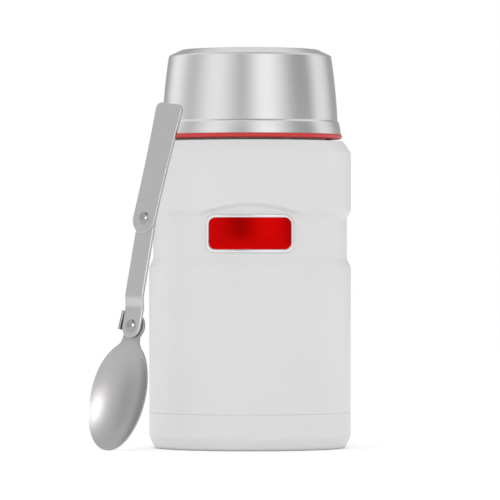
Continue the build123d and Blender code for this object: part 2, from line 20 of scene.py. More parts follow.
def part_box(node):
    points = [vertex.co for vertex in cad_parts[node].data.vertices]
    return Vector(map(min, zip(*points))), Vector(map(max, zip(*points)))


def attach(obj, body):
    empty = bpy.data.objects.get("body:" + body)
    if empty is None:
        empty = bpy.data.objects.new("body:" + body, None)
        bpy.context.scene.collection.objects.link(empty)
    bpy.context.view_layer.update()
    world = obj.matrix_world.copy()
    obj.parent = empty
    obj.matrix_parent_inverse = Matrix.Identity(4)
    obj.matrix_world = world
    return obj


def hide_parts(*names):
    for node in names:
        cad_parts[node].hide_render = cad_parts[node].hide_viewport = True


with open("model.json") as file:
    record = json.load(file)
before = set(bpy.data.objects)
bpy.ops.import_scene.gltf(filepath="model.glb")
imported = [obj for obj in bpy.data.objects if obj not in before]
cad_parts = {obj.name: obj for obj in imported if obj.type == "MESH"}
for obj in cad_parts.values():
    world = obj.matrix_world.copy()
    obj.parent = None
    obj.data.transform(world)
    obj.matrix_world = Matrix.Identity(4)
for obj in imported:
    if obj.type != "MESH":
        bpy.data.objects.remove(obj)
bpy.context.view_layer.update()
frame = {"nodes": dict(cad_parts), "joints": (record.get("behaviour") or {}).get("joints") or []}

MM = 0.001
SHARP_EDGE = math.radians(40)  # a sharper fold of sheet metal is shaded as an edge
LOG = logging.getLogger("food_jar")

Tree = bpy.types.NodeTree
Node = bpy.types.Node
Socket = bpy.types.NodeSocket
Piece = bpy.types.Object
Point = tuple[float, float]
Face = tuple[int, ...]


# ----------------------------------------------------------------------------------------------
# Small helpers: nodes
# ----------------------------------------------------------------------------------------------


def linear(colour: str) -> tuple[float, float, float, float]:
    """Turns an sRGB hex colour to the linear values that a shader takes, by the standard's own curve.

    Args:
        colour: Six hex digits after a hash.

    Returns:
        Red, green, blue and an alpha of 1.
    """
    shares = [int(colour[place : place + 2], 16) / 255 for place in (1, 3, 5)]
    red, green, blue = (
        share / 12.92 if share <= 0.04045 else ((share + 0.055) / 1.055) ** 2.4 for share in shares
    )
    return red, green, blue, 1.0


def feed(tree: Tree, node: Node, feeds: dict[str | int, object]) -> None:
    """Feeds a node's inputs.

    Args:
        tree: The tree that the node is in.
        node: The node.
        feeds: What goes in each input, by name or place: a socket is linked, a node is linked from its
            first output, and anything else is set as the input's value.
    """
    for place, value in feeds.items():
        if isinstance(value, Node):
            value = value.outputs[0]
        if isinstance(value, Socket):
            tree.links.new(value, node.inputs[place])
        else:
            node.inputs[place].default_value = value


def add_node(tree: Tree, kind: str, feeds: dict[str | int, object] | None = None, **settings: object) -> Node:
    """Adds a node with its settings and links.

    Args:
        tree: The tree that gets the node.
        kind: The node's Blender type.
        feeds: What goes in its inputs, as feed takes it.
        settings: The node's own properties.

    Returns:
        The new node.
    """
    node = tree.nodes.new(kind)
    for name, value in settings.items():
        setattr(node, name, value)
    feed(tree, node, feeds or {})
    return node


def geometry_tree(name: str, sizes: dict[str, float], takes_mesh: bool) -> tuple[Tree, Node]:
    """Starts a Geometry Nodes tree with named inputs.

    Args:
        name: The tree's name.
        sizes: Name and starting value of each number that the tree takes.
        takes_mesh: Whether it works on the piece's own mesh.

    Returns:
        The tree and the node that gives its inputs.
    """
    tree = bpy.data.node_groups.new(name, "GeometryNodeTree")
    if takes_mesh:
        tree.interface.new_socket(name="Mesh", in_out="INPUT", socket_type="NodeSocketGeometry")
    for size, value in sizes.items():
        socket = tree.interface.new_socket(name=size, in_out="INPUT", socket_type="NodeSocketFloat")
        socket.default_value = value
    tree.interface.new_socket(name="Finish", in_out="INPUT", socket_type="NodeSocketMaterial")
    tree.interface.new_socket(name="Mesh", in_out="OUTPUT", socket_type="NodeSocketGeometry")
    return tree, add_node(tree, "NodeGroupInput")


def end_tree(tree: Tree, given: Node, mesh: Node) -> None:
    """Ends a Geometry Nodes tree: instances made real, shaded smooth and given the finish.

    Args:
        tree: The tree.
        given: The node that gives its inputs.
        mesh: The node that gives what the tree has made.
    """
    real = add_node(tree, "GeometryNodeRealizeInstances", {0: mesh})
    smooth = add_node(tree, "GeometryNodeSetShadeSmooth", {"Geometry": real})
    feeds = {"Geometry": smooth, "Material": given.outputs["Finish"]}
    add_node(tree, "NodeGroupOutput", {0: add_node(tree, "GeometryNodeSetMaterial", feeds)})


def grow(piece: Piece, tree: Tree, finish: bpy.types.Material, sizes: dict[str, float]) -> None:
    """Puts a tree on a piece as a modifier, with its inputs set.

    Args:
        piece: The object that it works on.
        tree: The Geometry Nodes tree.
        finish: The material that the tree sets.
        sizes: Value of each named number.
    """
    modifier = piece.modifiers.new(tree.name, "NODES")
    modifier.node_group = tree
    values = {**sizes, "Finish": finish}
    for socket in tree.interface.items_tree:
        if socket.in_out == "INPUT" and socket.name in values:
            modifier[socket.identifier] = values[socket.name]


# ----------------------------------------------------------------------------------------------
# Small helpers: shapes
# ----------------------------------------------------------------------------------------------


def smooth_piece(name: str, vertices: list[Vector], faces: list[Face]) -> Piece:
    """Makes a smooth mesh object at the origin.

    Args:
        name: The piece's name.
        vertices: Its points.
        faces: Its faces, as indices of the points.

    Returns:
        The object, linked to the scene.
    """
    mesh = bpy.data.meshes.new(name)
    mesh.from_pydata(vertices, [], faces)
    mesh.polygons.foreach_set("use_smooth", [True] * len(mesh.polygons))
    piece = bpy.data.objects.new(name, mesh)
    bpy.context.scene.collection.objects.link(piece)
    return piece


def settle(piece: Piece, sharp: float | None = None) -> None:
    """Turns what a piece's modifiers make into its own plain mesh, and removes them.

    Args:
        piece: The piece.
        sharp: Angle past which a fold is shaded as an edge; none leaves the shading as it is.
    """
    graph = bpy.context.evaluated_depsgraph_get()
    made = bpy.data.meshes.new_from_object(piece.evaluated_get(graph), depsgraph=graph)
    piece.modifiers.clear()
    piece.data = made
    if sharp is not None:
        made.set_sharp_from_angle(angle=sharp)


def lofted(rings: int, count: int) -> list[Face]:
    """Joins closed rings of points, each to the next, with four-sided faces.

    Args:
        rings: How many rings there are.
        count: How many points each has.

    Returns:
        The faces, as indices of points that are listed ring by ring.
    """
    following = [(place + 1) % count for place in range(count)]
    return [
        (ring * count + place, ring * count + after, (ring + 1) * count + after, (ring + 1) * count + place)
        for ring in range(rings - 1)
        for place, after in enumerate(following)
    ]


def between(start: Point, end: Point, share: float) -> Point:
    """Gives the point that is a share of the way from one point to another."""
    return tuple(a + (b - a) * share for a, b in zip(start, end))


def rounded_profile(corners: list[tuple[float, float, float]], steps: int = 6) -> list[Point]:
    """Lays arcs at the corners of an open line.

    Args:
        corners: Radius, height and rounding of each corner.
        steps: Runs that an arc is drawn with.

    Returns:
        Radius and height of each point of the rounded line.
    """
    line = []
    for place, (radius, height, rounding) in enumerate(corners):
        corner = Vector((radius, height))
        if rounding == 0 or place in (0, len(corners) - 1):
            line.append((radius, height))
            continue
        before = (Vector(corners[place - 1][:2]) - corner).normalized()
        after = (Vector(corners[place + 1][:2]) - corner).normalized()
        half = before.angle(after) / 2
        centre = corner + (before + after).normalized() * rounding / math.sin(half)
        start = corner + before * rounding / math.tan(half) - centre
        end = corner + after * rounding / math.tan(half) - centre
        sweep = start.angle(end)
        for step in range(steps + 1):
            share = step / steps
            point = start * math.sin((1 - share) * sweep) + end * math.sin(share * sweep)
            line.append(tuple(centre + point / math.sin(sweep)))
    return line


def refined(line: list[Point], low: float, high: float, gap: float) -> list[Point]:
    """Splits the runs of a line that cross a band of heights.

    Args:
        line: Radius and height of each point.
        low: Bottom of the band.
        high: Top of the band.
        gap: Longest run that stays whole there.

    Returns:
        The line with more points in the band.
    """
    finer = [line[0]]
    for start, end in zip(line, line[1:]):
        crosses = min(start[1], end[1]) < high and max(start[1], end[1]) > low
        parts = math.ceil(math.dist(start, end) / gap) if crosses else 1
        finer += [between(start, end, part / parts) for part in range(1, parts + 1)]
    return finer


def arc(radius: float, start: float, end: float, steps: int, rise: float = 0.0) -> list[Point]:
    """Walks round a circle.

    Args:
        radius: Its radius.
        start: Angle of the first point.
        end: Angle of the last point.
        steps: Steps between the two.
        rise: How far up the circle's centre stands.

    Returns:
        The points, first and last included.
    """
    turns = [start + (end - start) * step / steps for step in range(steps + 1)]
    return [(radius * math.cos(turn), rise + radius * math.sin(turn)) for turn in turns]


def smooth_step(share: float) -> float:
    """Eases a share from 0 to 1."""
    share = min(max(share, 0.0), 1.0)
    return share * share * (3 - 2 * share)


def smooth_max(first: float, second: float, softness: float) -> float:
    """Gives the larger of two numbers, rounded where they are close.

    Args:
        first: One number.
        second: The other.
        softness: How close they are where the rounding starts.

    Returns:
        The larger, or a little more where the two are close.
    """
    if softness <= 0:
        return max(first, second)
    near = max(softness - abs(first - second), 0) / softness
    return max(first, second) + near * near * softness / 4


# ----------------------------------------------------------------------------------------------
# Finishes
# ----------------------------------------------------------------------------------------------


class Grain(Enum):
    """How a surface's detail is spread: the node that draws it and the node's settings."""

    CLOUDS = ("ShaderNodeTexNoise", {})
    CELLS = ("ShaderNodeTexVoronoi", {})  # lowest in the middle of each cell
    FOLDS = ("ShaderNodeTexVoronoi", {"feature": "F2"})  # flat facets between creases


@dataclass(frozen=True)
class Pattern:
    """A pattern without a direction, at its real size."""

    size: float
    detail: float = 2.0
    grain: Grain = Grain.CLOUDS

    def lay(self, tree: Tree, place: Socket) -> Node:
        """Adds the node that draws the pattern.

        Args:
            tree: The material's tree.
            place: The point on the piece, in metres.

        Returns:
            The pattern, from 0 to 1.
        """
        kind, settings = self.grain.value
        feeds = {"Vector": place, "Scale": 1 / self.size, "Detail": self.detail}
        return add_node(tree, kind, feeds, **settings)


@dataclass(frozen=True)
class Finish:
    """What all finishes share: a relief, and a pattern that shifts the colour and the roughness."""

    name: str
    colour: str
    roughness: float
    other: str  # colour where the pattern is high
    depth: float  # of the relief
    spread: tuple[float, float]  # what the roughness gains where the pattern is low and high

    metallic = 0.0
    beaded = False  # whether the relief stands out in the middle of its cells

    def detail(self, tree: Tree, place: Socket) -> tuple[Node, Node]:
        """Draws the surface's detail; each finish has its own.

        Args:
            tree: The material's tree.
            place: The point on the piece, in metres.

        Returns:
            The relief's height and the pattern, both from 0 to 1.
        """
        raise NotImplementedError

    def response(self, tree: Tree) -> dict[str | int, object]:
        """Gives the shader's inputs that only this kind of finish sets."""
        return {}

    def material(self) -> bpy.types.Material:
        """Makes the finish's material on the first call and gives the same one later.

        Returns:
            The material.
        """
        known = bpy.data.materials.get(self.name)
        if known:
            return known
        material = bpy.data.materials.new(self.name)
        material.use_nodes = True
        colour = linear(self.colour)
        material.diffuse_color = colour
        tree = material.node_tree
        height, pattern = self.detail(tree, add_node(tree, "ShaderNodeTexCoord").outputs["Object"])
        feeds = {"Height": height, "Distance": self.depth}
        bumps = add_node(tree, "ShaderNodeBump", feeds, invert=self.beaded)
        # This node takes its colours at places 6 and 7, and gives their blend at 2.
        feeds = {0: pattern, 6: colour, 7: linear(self.other)}
        blend = add_node(tree, "ShaderNodeMix", feeds, data_type="RGBA")
        low, high = (self.roughness + gain for gain in self.spread)
        rough = add_node(tree, "ShaderNodeMapRange", {"Value": pattern, "To Min": low, "To Max": high})
        shader = tree.nodes["Principled BSDF"]
        # Plain values first, for a viewer that doesn't read the links.
        feed(tree, shader, {"Base Color": colour, "Roughness": self.roughness})
        feed(tree, shader, {"Base Color": blend.outputs[2], "Roughness": rough, "Normal": bumps})
        feed(tree, shader, {"Metallic": self.metallic, **self.response(tree)})
        return material


@dataclass(frozen=True)
class GrainedFinish(Finish):
    """A finish whose relief has no direction, with a pattern of its own or the relief's."""

    relief: Pattern
    drift: Pattern | None = None

    def detail(self, tree: Tree, place: Socket) -> tuple[Node, Node]:
        """Draws the relief and the pattern.

        Args:
            tree: The material's tree.
            place: The point on the piece, in metres.

        Returns:
            The relief's height and the pattern.
        """
        height = self.relief.lay(tree, place)
        pattern = self.drift.lay(tree, place) if self.drift else height
        return height, pattern


@dataclass(frozen=True)
class PowderCoat(GrainedFinish):
    """Polyester powder coat baked on steel: satin, with a faint orange peel that softens highlights."""

    other: str = "#D8D8D8"
    depth: float = 0.006 * MM
    spread: tuple[float, float] = (-0.04, 0.04)
    relief: Pattern = Pattern(1.1 * MM)
    drift: Pattern | None = Pattern(40 * MM)  # slow change of the coat's thickness
    gloss: float = 0.3  # less than bare resin: the matting agent scatters what the surface would mirror

    def response(self, tree: Tree) -> dict[str | int, object]:
        """A matted polyester resin's."""
        return {"IOR": 1.5, "Specular IOR Level": self.gloss}


@dataclass(frozen=True)
class TurnedSteel(Finish):
    """Stainless steel brushed as it spins: rings round its axis draw reflections into upright streaks."""

    other: str = "#D9D9D9"
    depth: float = 0.0008 * MM
    spread: tuple[float, float] = (-0.03, 0.04)
    ring_gap: float = 0.3 * MM  # real brushing is finer; this is as fine as shows
    stroke_length: float = 60 * MM
    coarseness: float = 0.6  # how much the finest scratches count
    stretch: float = 0.5
    stretch_turn: float = 0.25  # a quarter turn: reflections stretch across the rings

    metallic = 1.0

    def detail(self, tree: Tree, place: Socket) -> tuple[Node, Node]:
        """Draws brush lines that follow the rings on the wall and on the top alike.

        Args:
            tree: The material's tree.
            place: The point on the piece, in metres.

        Returns:
            The lines, for the relief and for the pattern.
        """
        parts = add_node(tree, "ShaderNodeSeparateXYZ", {0: place}).outputs
        flat = {"X": parts["X"], "Y": parts["Y"]}
        radius = add_node(tree, "ShaderNodeCombineXYZ", flat)
        reach = add_node(tree, "ShaderNodeVectorMath", {0: radius}, operation="LENGTH").outputs["Value"]
        travel = add_node(tree, "ShaderNodeMath", {0: parts["Z"], 1: reach})
        strokes = add_node(tree, "ShaderNodeCombineXYZ", {**flat, "Z": travel})
        scale = (1 / self.stroke_length, 1 / self.stroke_length, 1 / self.ring_gap)
        laid = add_node(tree, "ShaderNodeMapping", {"Vector": strokes, "Scale": scale})
        feeds = {"Vector": laid, "Scale": 1.0, "Detail": 3.0, "Roughness": self.coarseness}
        lines = add_node(tree, "ShaderNodeTexNoise", feeds)
        return lines, lines

    def response(self, tree: Tree) -> dict[str | int, object]:
        """Stretches reflections by the rings' direction."""
        rings = add_node(tree, "ShaderNodeTangent", direction_type="RADIAL", axis="Z")
        return {"Anisotropic": self.stretch, "Anisotropic Rotation": self.stretch_turn, "Tangent": rings}


@dataclass(frozen=True)
class TumbledSteel(GrainedFinish):
    """Stainless steel tumbled after stamping: a fine even grain with no direction, and soft reflections."""

    depth: float = 0.002 * MM
    spread: tuple[float, float] = (-0.04, 0.05)
    relief: Pattern = Pattern(0.4 * MM, 3.0)
    drift: Pattern | None = Pattern(9 * MM)  # faint clouding left by tumbling and hands

    metallic = 1.0


@dataclass(frozen=True)
class SatinStrip(Finish):
    """Stainless strip with a satin polish along its length: faint lines that run with the spoon."""

    depth: float = 0.0006 * MM
    spread: tuple[float, float] = (-0.05, 0.05)
    turn: tuple[float, float, float] = (0.0, 0.0, 0.0)  # of the strip's length from upright
    line_gap: float = 0.4 * MM  # real polish lines are finer; this is as fine as shows
    line_length: float = 14 * MM
    handling: Pattern = Pattern(11 * MM)

    metallic = 1.0

    def detail(self, tree: Tree, place: Socket) -> tuple[Node, Node]:
        """Draws the polish lines, and mixes them with clouds left by handling.

        Args:
            tree: The material's tree.
            place: The point on the piece, in metres.

        Returns:
            The lines, and the mix of lines and clouds.
        """
        size = (self.line_gap, self.line_gap, self.line_length)
        feeds = {"Vector": place, "Rotation": self.turn, "Scale": size}
        laid = add_node(tree, "ShaderNodeMapping", feeds, vector_type="TEXTURE")
        lines = add_node(tree, "ShaderNodeTexNoise", {"Vector": laid, "Scale": 1.0, "Detail": 3.0})
        both = add_node(tree, "ShaderNodeMath", {0: lines, 1: self.handling.lay(tree, place)})
        return lines, add_node(tree, "ShaderNodeMath", {0: both, 1: 2.0}, operation="DIVIDE")


@dataclass(frozen=True)
class MouldedPlastic(GrainedFinish):
    """Injection-moulded polypropylene or ABS: a spark-eroded mould leaves a fine matt grain."""

    other: str = "#303033"
    depth: float = 0.01 * MM
    spread: tuple[float, float] = (-0.05, 0.05)
    relief: Pattern = Pattern(0.45 * MM, 0.0, Grain.CELLS)
    drift: Pattern | None = Pattern(16 * MM)  # gloss changes where the melt cooled unevenly
    coat: float = 0.0

    def response(self, tree: Tree) -> dict[str | int, object]:
        """A hard plastic's, with the shine that a polished mould gives some pieces."""
        return {"IOR": 1.49, "Coat Weight": self.coat}


@dataclass(frozen=True)
class Silicone(GrainedFinish):
    """Cast silicone rubber: milky and soft, so light goes a little way in and dust dulls it."""

    other: str = "#C9CBCC"
    depth: float = 0.01 * MM
    spread: tuple[float, float] = (-0.1, 0.1)
    relief: Pattern = Pattern(1.6 * MM, 4.0)  # specks of dust
    milkiness: float = 0.4
    light_depth: float = 1.5 * MM

    def response(self, tree: Tree) -> dict[str | int, object]:
        """A milky rubber's."""
        return {"IOR": 1.41, "Subsurface Weight": self.milkiness, "Subsurface Scale": self.light_depth}


@dataclass(frozen=True)
class LacqueredMetal(GrainedFinish):
    """Tinted lacquer over a bright metal plate: it reflects like the metal, in the lacquer's colour."""

    other: str = "#B00000"
    depth: float = 0.001 * MM
    spread: tuple[float, float] = (-0.02, 0.04)
    relief: Pattern = Pattern(0.25 * MM)  # the metal's fine grain
    coat: float = 0.1
    coat_roughness: float = 0.08

    metallic = 1.0

    def response(self, tree: Tree) -> dict[str | int, object]:
        """Lays a clear coat over the tint."""
        return {"Coat Weight": self.coat, "Coat Roughness": self.coat_roughness}


@dataclass(frozen=True)
class Foam(GrainedFinish):
    """Closed-cell polystyrene foam: small round cells pressed together, quite matt."""

    other: str = "#D8D5C8"
    depth: float = 0.15 * MM
    spread: tuple[float, float] = (0.0, 0.1)
    relief: Pattern = Pattern(2.2 * MM, 0.0, Grain.CELLS)

    beaded = True


@dataclass(frozen=True)
class RolledFoil(GrainedFinish):
    """Thin aluminium or copper foil wound by hand: bright, with flat crumples."""

    other: str = "#C8CACC"
    depth: float = 0.25 * MM
    spread: tuple[float, float] = (0.0, 0.1)
    relief: Pattern = Pattern(7 * MM, 0.0, Grain.FOLDS)

    metallic = 1.0


POWDER_WHITE = PowderCoat("powder_coat_white", "#DDDDDD", 0.34)
BOWL_STEEL = TurnedSteel("turned_stainless_steel", "#E2E2E2", 0.22)
VESSEL_STEEL = TurnedSteel("satin_spun_steel", "#DCDCDC", 0.4, "#CDCDCD", 0.003 * MM, ring_gap=0.8 * MM)
RIVET_STEEL = TumbledSteel(
    "cold_headed_rivet_steel", "#A5A3A4", 0.2, "#979596", 0.0004 * MM, relief=Pattern(0.3 * MM, 3.0)
)
STOPPER_PLASTIC = MouldedPlastic("moulded_polypropylene_grey", "#2B2B2E", 0.5)
INSERT_PLASTIC = MouldedPlastic("moulded_polypropylene_black", "#1B1B1D", 0.45, "#222225")
RING_PLASTIC = MouldedPlastic("moulded_red_abs", "#CB2B2C", 0.4, "#C32627", 0.003 * MM, coat=0.1)
WASHER_PLASTIC = MouldedPlastic("turned_acetal", "#D9D8D2", 0.4, "#CFCEC8")
GASKET_SILICONE = Silicone("cast_silicone", "#D5D7D8", 0.45)
PAD_RUBBER = Silicone("acrylic_adhesive_pad", "#8C8C8E", 0.6, "#7E7E80")
BADGE_RED = LacqueredMetal("red_lacquer_on_aluminium", "#D60000", 0.1, coat=0.05)
BADGE_SILVER = LacqueredMetal("anodised_aluminium_border", "#EDEDEE", 0.2, "#E2E2E4")
STOPPER_FOAM = Foam("polystyrene_foam", "#E8E5DA", 0.8)
VESSEL_FOIL = RolledFoil("rolled_aluminium_foil", "#D9DBDD", 0.18)
GETTER_METAL = TumbledSteel("pressed_getter_metal", "#8E8E90", 0.45, "#78787A", relief=Pattern(0.2 * MM, 3.0))
SEAL_BRAZE = TumbledSteel("nickel_braze", "#B59A6A", 0.35, "#9A8054")


# ----------------------------------------------------------------------------------------------
# The jar's sub-assemblies
# ----------------------------------------------------------------------------------------------


class SubAssembly:
    """A group of pieces that is built and dressed together."""

    title = "sub-assembly"

    @cached_property
    def pieces(self) -> list[Piece]:
        """The objects that the group has dressed or made so far."""
        return []

    def build(self) -> None:
        """Makes the group's own pieces; a group with none has nothing to do."""

    def finishes(self) -> dict[str, Finish]:
        """Gives the finish of each CAD node of the group that stays in sight."""
        return {}

    def dress(self) -> None:
        """Gives every CAD node of the group its finish."""
        for name, finish in self.finishes().items():
            node = frame["nodes"][name]
            node.data.materials.clear()
            node.data.materials.append(finish.material())
            self.pieces.append(node)
            LOG.info("%s: %s has %s", self.title, name, finish.name)

    def place(self, piece: Piece, body: str, slot: str, *replaced: str) -> None:
        """Makes a finished piece ride on its body.

        Args:
            piece: The piece, with its place in its mesh.
            body: The CAD body that it moves with.
            slot: The record's material slot; not used.
            replaced: CAD nodes that it stands for.
        """
        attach(piece, body)
        if replaced:
            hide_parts(*replaced)
        self.pieces.append(piece)
        LOG.info("%s: %s has %d faces", self.title, piece.name, len(piece.data.polygons))


class ThreadSide(Enum):
    """Which way a thread's ridge stands on its wall."""

    OUTSIDE = 1
    INSIDE = -1


@dataclass(frozen=True)
class ThreadRidge:
    """A rolled or moulded screw thread: a round ridge that climbs a wall and fades at both ends."""

    name: str
    wall: float  # the radius of the wall that it stands on
    foot: float  # the height at which it starts
    side: ThreadSide
    ridge: float = 0.75 * MM
    sunk: float = 0.1 * MM  # of the ridge's centre in its wall
    pitch: float = 3.0 * MM
    turns: float = 1.2
    lag: float = 0.0  # share of a turn by which it starts later
    fade: float = 0.06  # share of its length that each end takes to vanish
    tip: float = 0.05  # share of its thickness that is left at either end
    around: int = 96  # steps in a turn
    ring: int = 12  # points round the ridge

    def sizes(self) -> dict[str, float]:
        """Gives the ridge's sizes as its tree names them."""
        return {
            "Radius": self.wall - self.side.value * self.sunk,
            "Foot": self.foot,
            "Pitch": self.pitch,
            "Turns": self.turns,
            "Ridge": self.ridge,
            "Lag": self.lag,
            "Fade": self.fade,
        }

    def tree(self) -> Tree:
        """Gives the tree that draws such a ridge; all threads share it.

        Returns:
            The tree, which needs no mesh to start from.
        """
        known = bpy.data.node_groups.get("thread_ridge")
        if known:
            return known
        tree, given = geometry_tree("thread_ridge", self.sizes(), takes_mesh=False)
        get = given.outputs
        rise = add_node(tree, "ShaderNodeMath", {0: get["Pitch"], 1: get["Turns"]}, operation="MULTIPLY")
        feeds = {
            "Resolution": self.around,
            "Rotations": get["Turns"],
            "Start Radius": get["Radius"],
            "End Radius": get["Radius"],
            "Height": rise,
        }
        line = add_node(tree, "GeometryNodeCurveSpiral", feeds)
        along = add_node(tree, "GeometryNodeSplineParameter").outputs["Factor"]
        left = add_node(tree, "ShaderNodeMath", {0: 1.0, 1: along}, operation="SUBTRACT")
        near = add_node(tree, "ShaderNodeMath", {0: along, 1: left}, operation="MINIMUM")
        feeds = {"Value": near, "From Max": get["Fade"], "To Min": self.tip}
        taper = add_node(tree, "ShaderNodeMapRange", feeds, interpolation_type="SMOOTHSTEP")
        feeds = {"Resolution": self.ring, "Radius": get["Ridge"]}
        section = add_node(tree, "GeometryNodeCurvePrimitiveCircle", feeds)
        feeds = {"Curve": line, "Profile Curve": section, "Scale": taper, "Fill Caps": True}
        swept = add_node(tree, "GeometryNodeCurveToMesh", feeds)
        lift = add_node(tree, "ShaderNodeCombineXYZ", {"Z": get["Foot"]})
        turned = add_node(tree, "ShaderNodeMath", {0: get["Lag"], 1: math.tau}, operation="MULTIPLY")
        spin = add_node(tree, "ShaderNodeCombineXYZ", {"Z": turned})
        feeds = {"Geometry": swept, "Translation": lift, "Rotation": spin}
        end_tree(tree, given, add_node(tree, "GeometryNodeTransform", feeds))
        return tree

    def make(self, finish: Finish) -> Piece:
        """Makes the ridge as a plain mesh.

        Args:
            finish: What it is finished in.

        Returns:
            The ridge's object.
        """
        piece = smooth_piece(self.name, [], [])
        grow(piece, self.tree(), finish.material(), self.sizes())
        settle(piece)
        return piece


@dataclass
class PaintedBody(SubAssembly):
    """The powder-coated shell, pressed in at the waist and again behind the badge."""

    title = "body"
    sheet: float = 0.6 * MM
    seam_bevel: float = 0.25 * MM
    waist_depth: float = 2.0 * MM
    waist_start: float = 89.6 * MM
    waist_floor: float = 93.6 * MM
    waist_ceiling: float = 113.7 * MM
    waist_end: float = 117.2 * MM
    shoulder_start: float = 146.2 * MM
    ledge_height: float = 151.8 * MM
    rim_inset: float = 3.9 * MM
    neck_inset: float = 12.4 * MM
    bend: float = 1.5 * MM
    arch_rise: float = 5.6 * MM  # of the badge's pocket over the waist's ceiling
    arch_slope: float = 0.75  # how far the pocket's ceiling climbs for each step outwards
    arch_rounding: float = 0.45 * MM
    pocket_angle: float = math.radians(42)
    pocket_top: float = 124 * MM  # rows are close together up to here, for the pocket's edge
    fine_row: float = 0.35 * MM
    fine_step: float = math.radians(0.5)
    coarse_step: float = math.radians(3)

    def build(self) -> None:
        """Makes the shell and stands it in for the CAD's."""
        shell = self.pressed_sheet()
        grow(shell, self.pocket_tree(), POWDER_WHITE.material(), self.pocket_sizes())
        thicken = shell.modifiers.new("sheet", "SOLIDIFY")
        thicken.thickness = self.sheet
        thicken.offset = -1
        settle(shell, SHARP_EDGE)
        self.place(shell, "jar", "powder_coated_steel", "outer_shell")

    def finishes(self) -> dict[str, Finish]:
        """The base cup is sprayed with the shell, and a bead of braze closes the vacuum."""
        return {"base_cup": POWDER_WHITE, "evacuation_seal": SEAL_BRAZE}

    def columns(self) -> list[float]:
        """Spaces the sheet's columns, close together where the pocket is.

        Returns:
            Their angles from -Y.
        """
        pocket = 2 * self.pocket_angle
        fine = round(pocket / self.fine_step)
        coarse = round((math.tau - pocket) / self.coarse_step)
        front = [-self.pocket_angle + pocket * step / fine for step in range(fine)]
        return front + [self.pocket_angle + (math.tau - pocket) * step / coarse for step in range(coarse)]

    def pressed_sheet(self) -> Piece:
        """Revolves the body's outside, from the seam to the top of the neck.

        Returns:
            The outside, without thickness or pocket.
        """
        low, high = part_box("outer_shell")
        wall = high.x
        waist = wall - self.waist_depth
        neck = wall - self.neck_inset
        corners = [
            (wall - self.seam_bevel, low.z, 0),
            (wall, low.z + self.seam_bevel, 0),
            (wall, self.waist_start, self.bend),
            (waist, self.waist_floor, self.bend),
            (waist, self.waist_ceiling, self.bend),
            (wall, self.waist_end, self.bend),
            (wall, self.shoulder_start, self.bend),
            (wall - self.rim_inset, self.ledge_height, self.sheet),
            (neck, self.ledge_height, 0),
            (neck, high.z, 0),
        ]
        ceiling = self.waist_ceiling - self.bend
        line = refined(rounded_profile(corners), ceiling, self.pocket_top, self.fine_row)
        angles = self.columns()
        vertices = [
            Vector((radius * math.sin(angle), -radius * math.cos(angle), height))
            for radius, height in line
            for angle in angles
        ]
        return smooth_piece("body_shell", vertices, lofted(len(line), len(angles)))

    def pocket_sizes(self) -> dict[str, float]:
        """Gives the sizes of the press tool for the badge's pocket, as its tree names them."""
        return {
            "Waist radius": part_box("outer_shell")[1].x - self.waist_depth,
            "Arch height": self.waist_ceiling + self.arch_rise,
            "Arch slope": self.arch_slope,
            "Depth": self.waist_depth,
            "Rounding": self.arch_rounding,
            "Lowest": (self.waist_floor + self.waist_ceiling) / 2,
            "Facing": math.cos(self.pocket_angle),
        }

    def pocket_tree(self) -> Tree:
        """Draws the press tool: it pushes the wall in to the waist's radius under a tilted, rounded ceiling.

        Returns:
            The tree, which works on the sheet.
        """
        tree, given = geometry_tree("badge_pocket", self.pocket_sizes(), takes_mesh=True)
        get = given.outputs
        waist = get["Waist radius"]
        spot = add_node(tree, "GeometryNodeInputPosition")
        parts = add_node(tree, "ShaderNodeSeparateXYZ", {0: spot}).outputs
        flat = add_node(tree, "ShaderNodeCombineXYZ", {"X": parts["X"], "Y": parts["Y"]})
        radius = add_node(tree, "ShaderNodeVectorMath", {0: flat}, operation="LENGTH").outputs["Value"]
        facing = add_node(tree, "ShaderNodeMath", {0: parts["Y"], 1: radius}, operation="DIVIDE")
        front = add_node(tree, "ShaderNodeMath", {0: facing, 1: -1.0}, operation="MULTIPLY")
        # How far out the tilted ceiling stands at this height, measured on the wall's own radius.
        above = add_node(tree, "ShaderNodeMath", {0: parts["Z"], 1: get["Arch height"]}, operation="SUBTRACT")
        run = add_node(tree, "ShaderNodeMath", {0: above, 1: get["Arch slope"]}, operation="DIVIDE")
        plane = add_node(tree, "ShaderNodeMath", {0: waist, 1: run}, operation="ADD")
        reach = add_node(tree, "ShaderNodeMath", {0: plane, 1: front}, operation="DIVIDE")
        left = add_node(tree, "ShaderNodeMath", {0: reach, 1: waist}, operation="SUBTRACT")
        start = add_node(tree, "ShaderNodeMath", {0: 0.0, 1: get["Rounding"]}, operation="SUBTRACT")
        end = add_node(tree, "ShaderNodeMath", {0: get["Depth"], 1: get["Rounding"]}, operation="ADD")
        feeds = {"Value": left, "From Min": start, "From Max": end}
        kept = add_node(tree, "ShaderNodeMapRange", feeds, interpolation_type="SMOOTHSTEP")
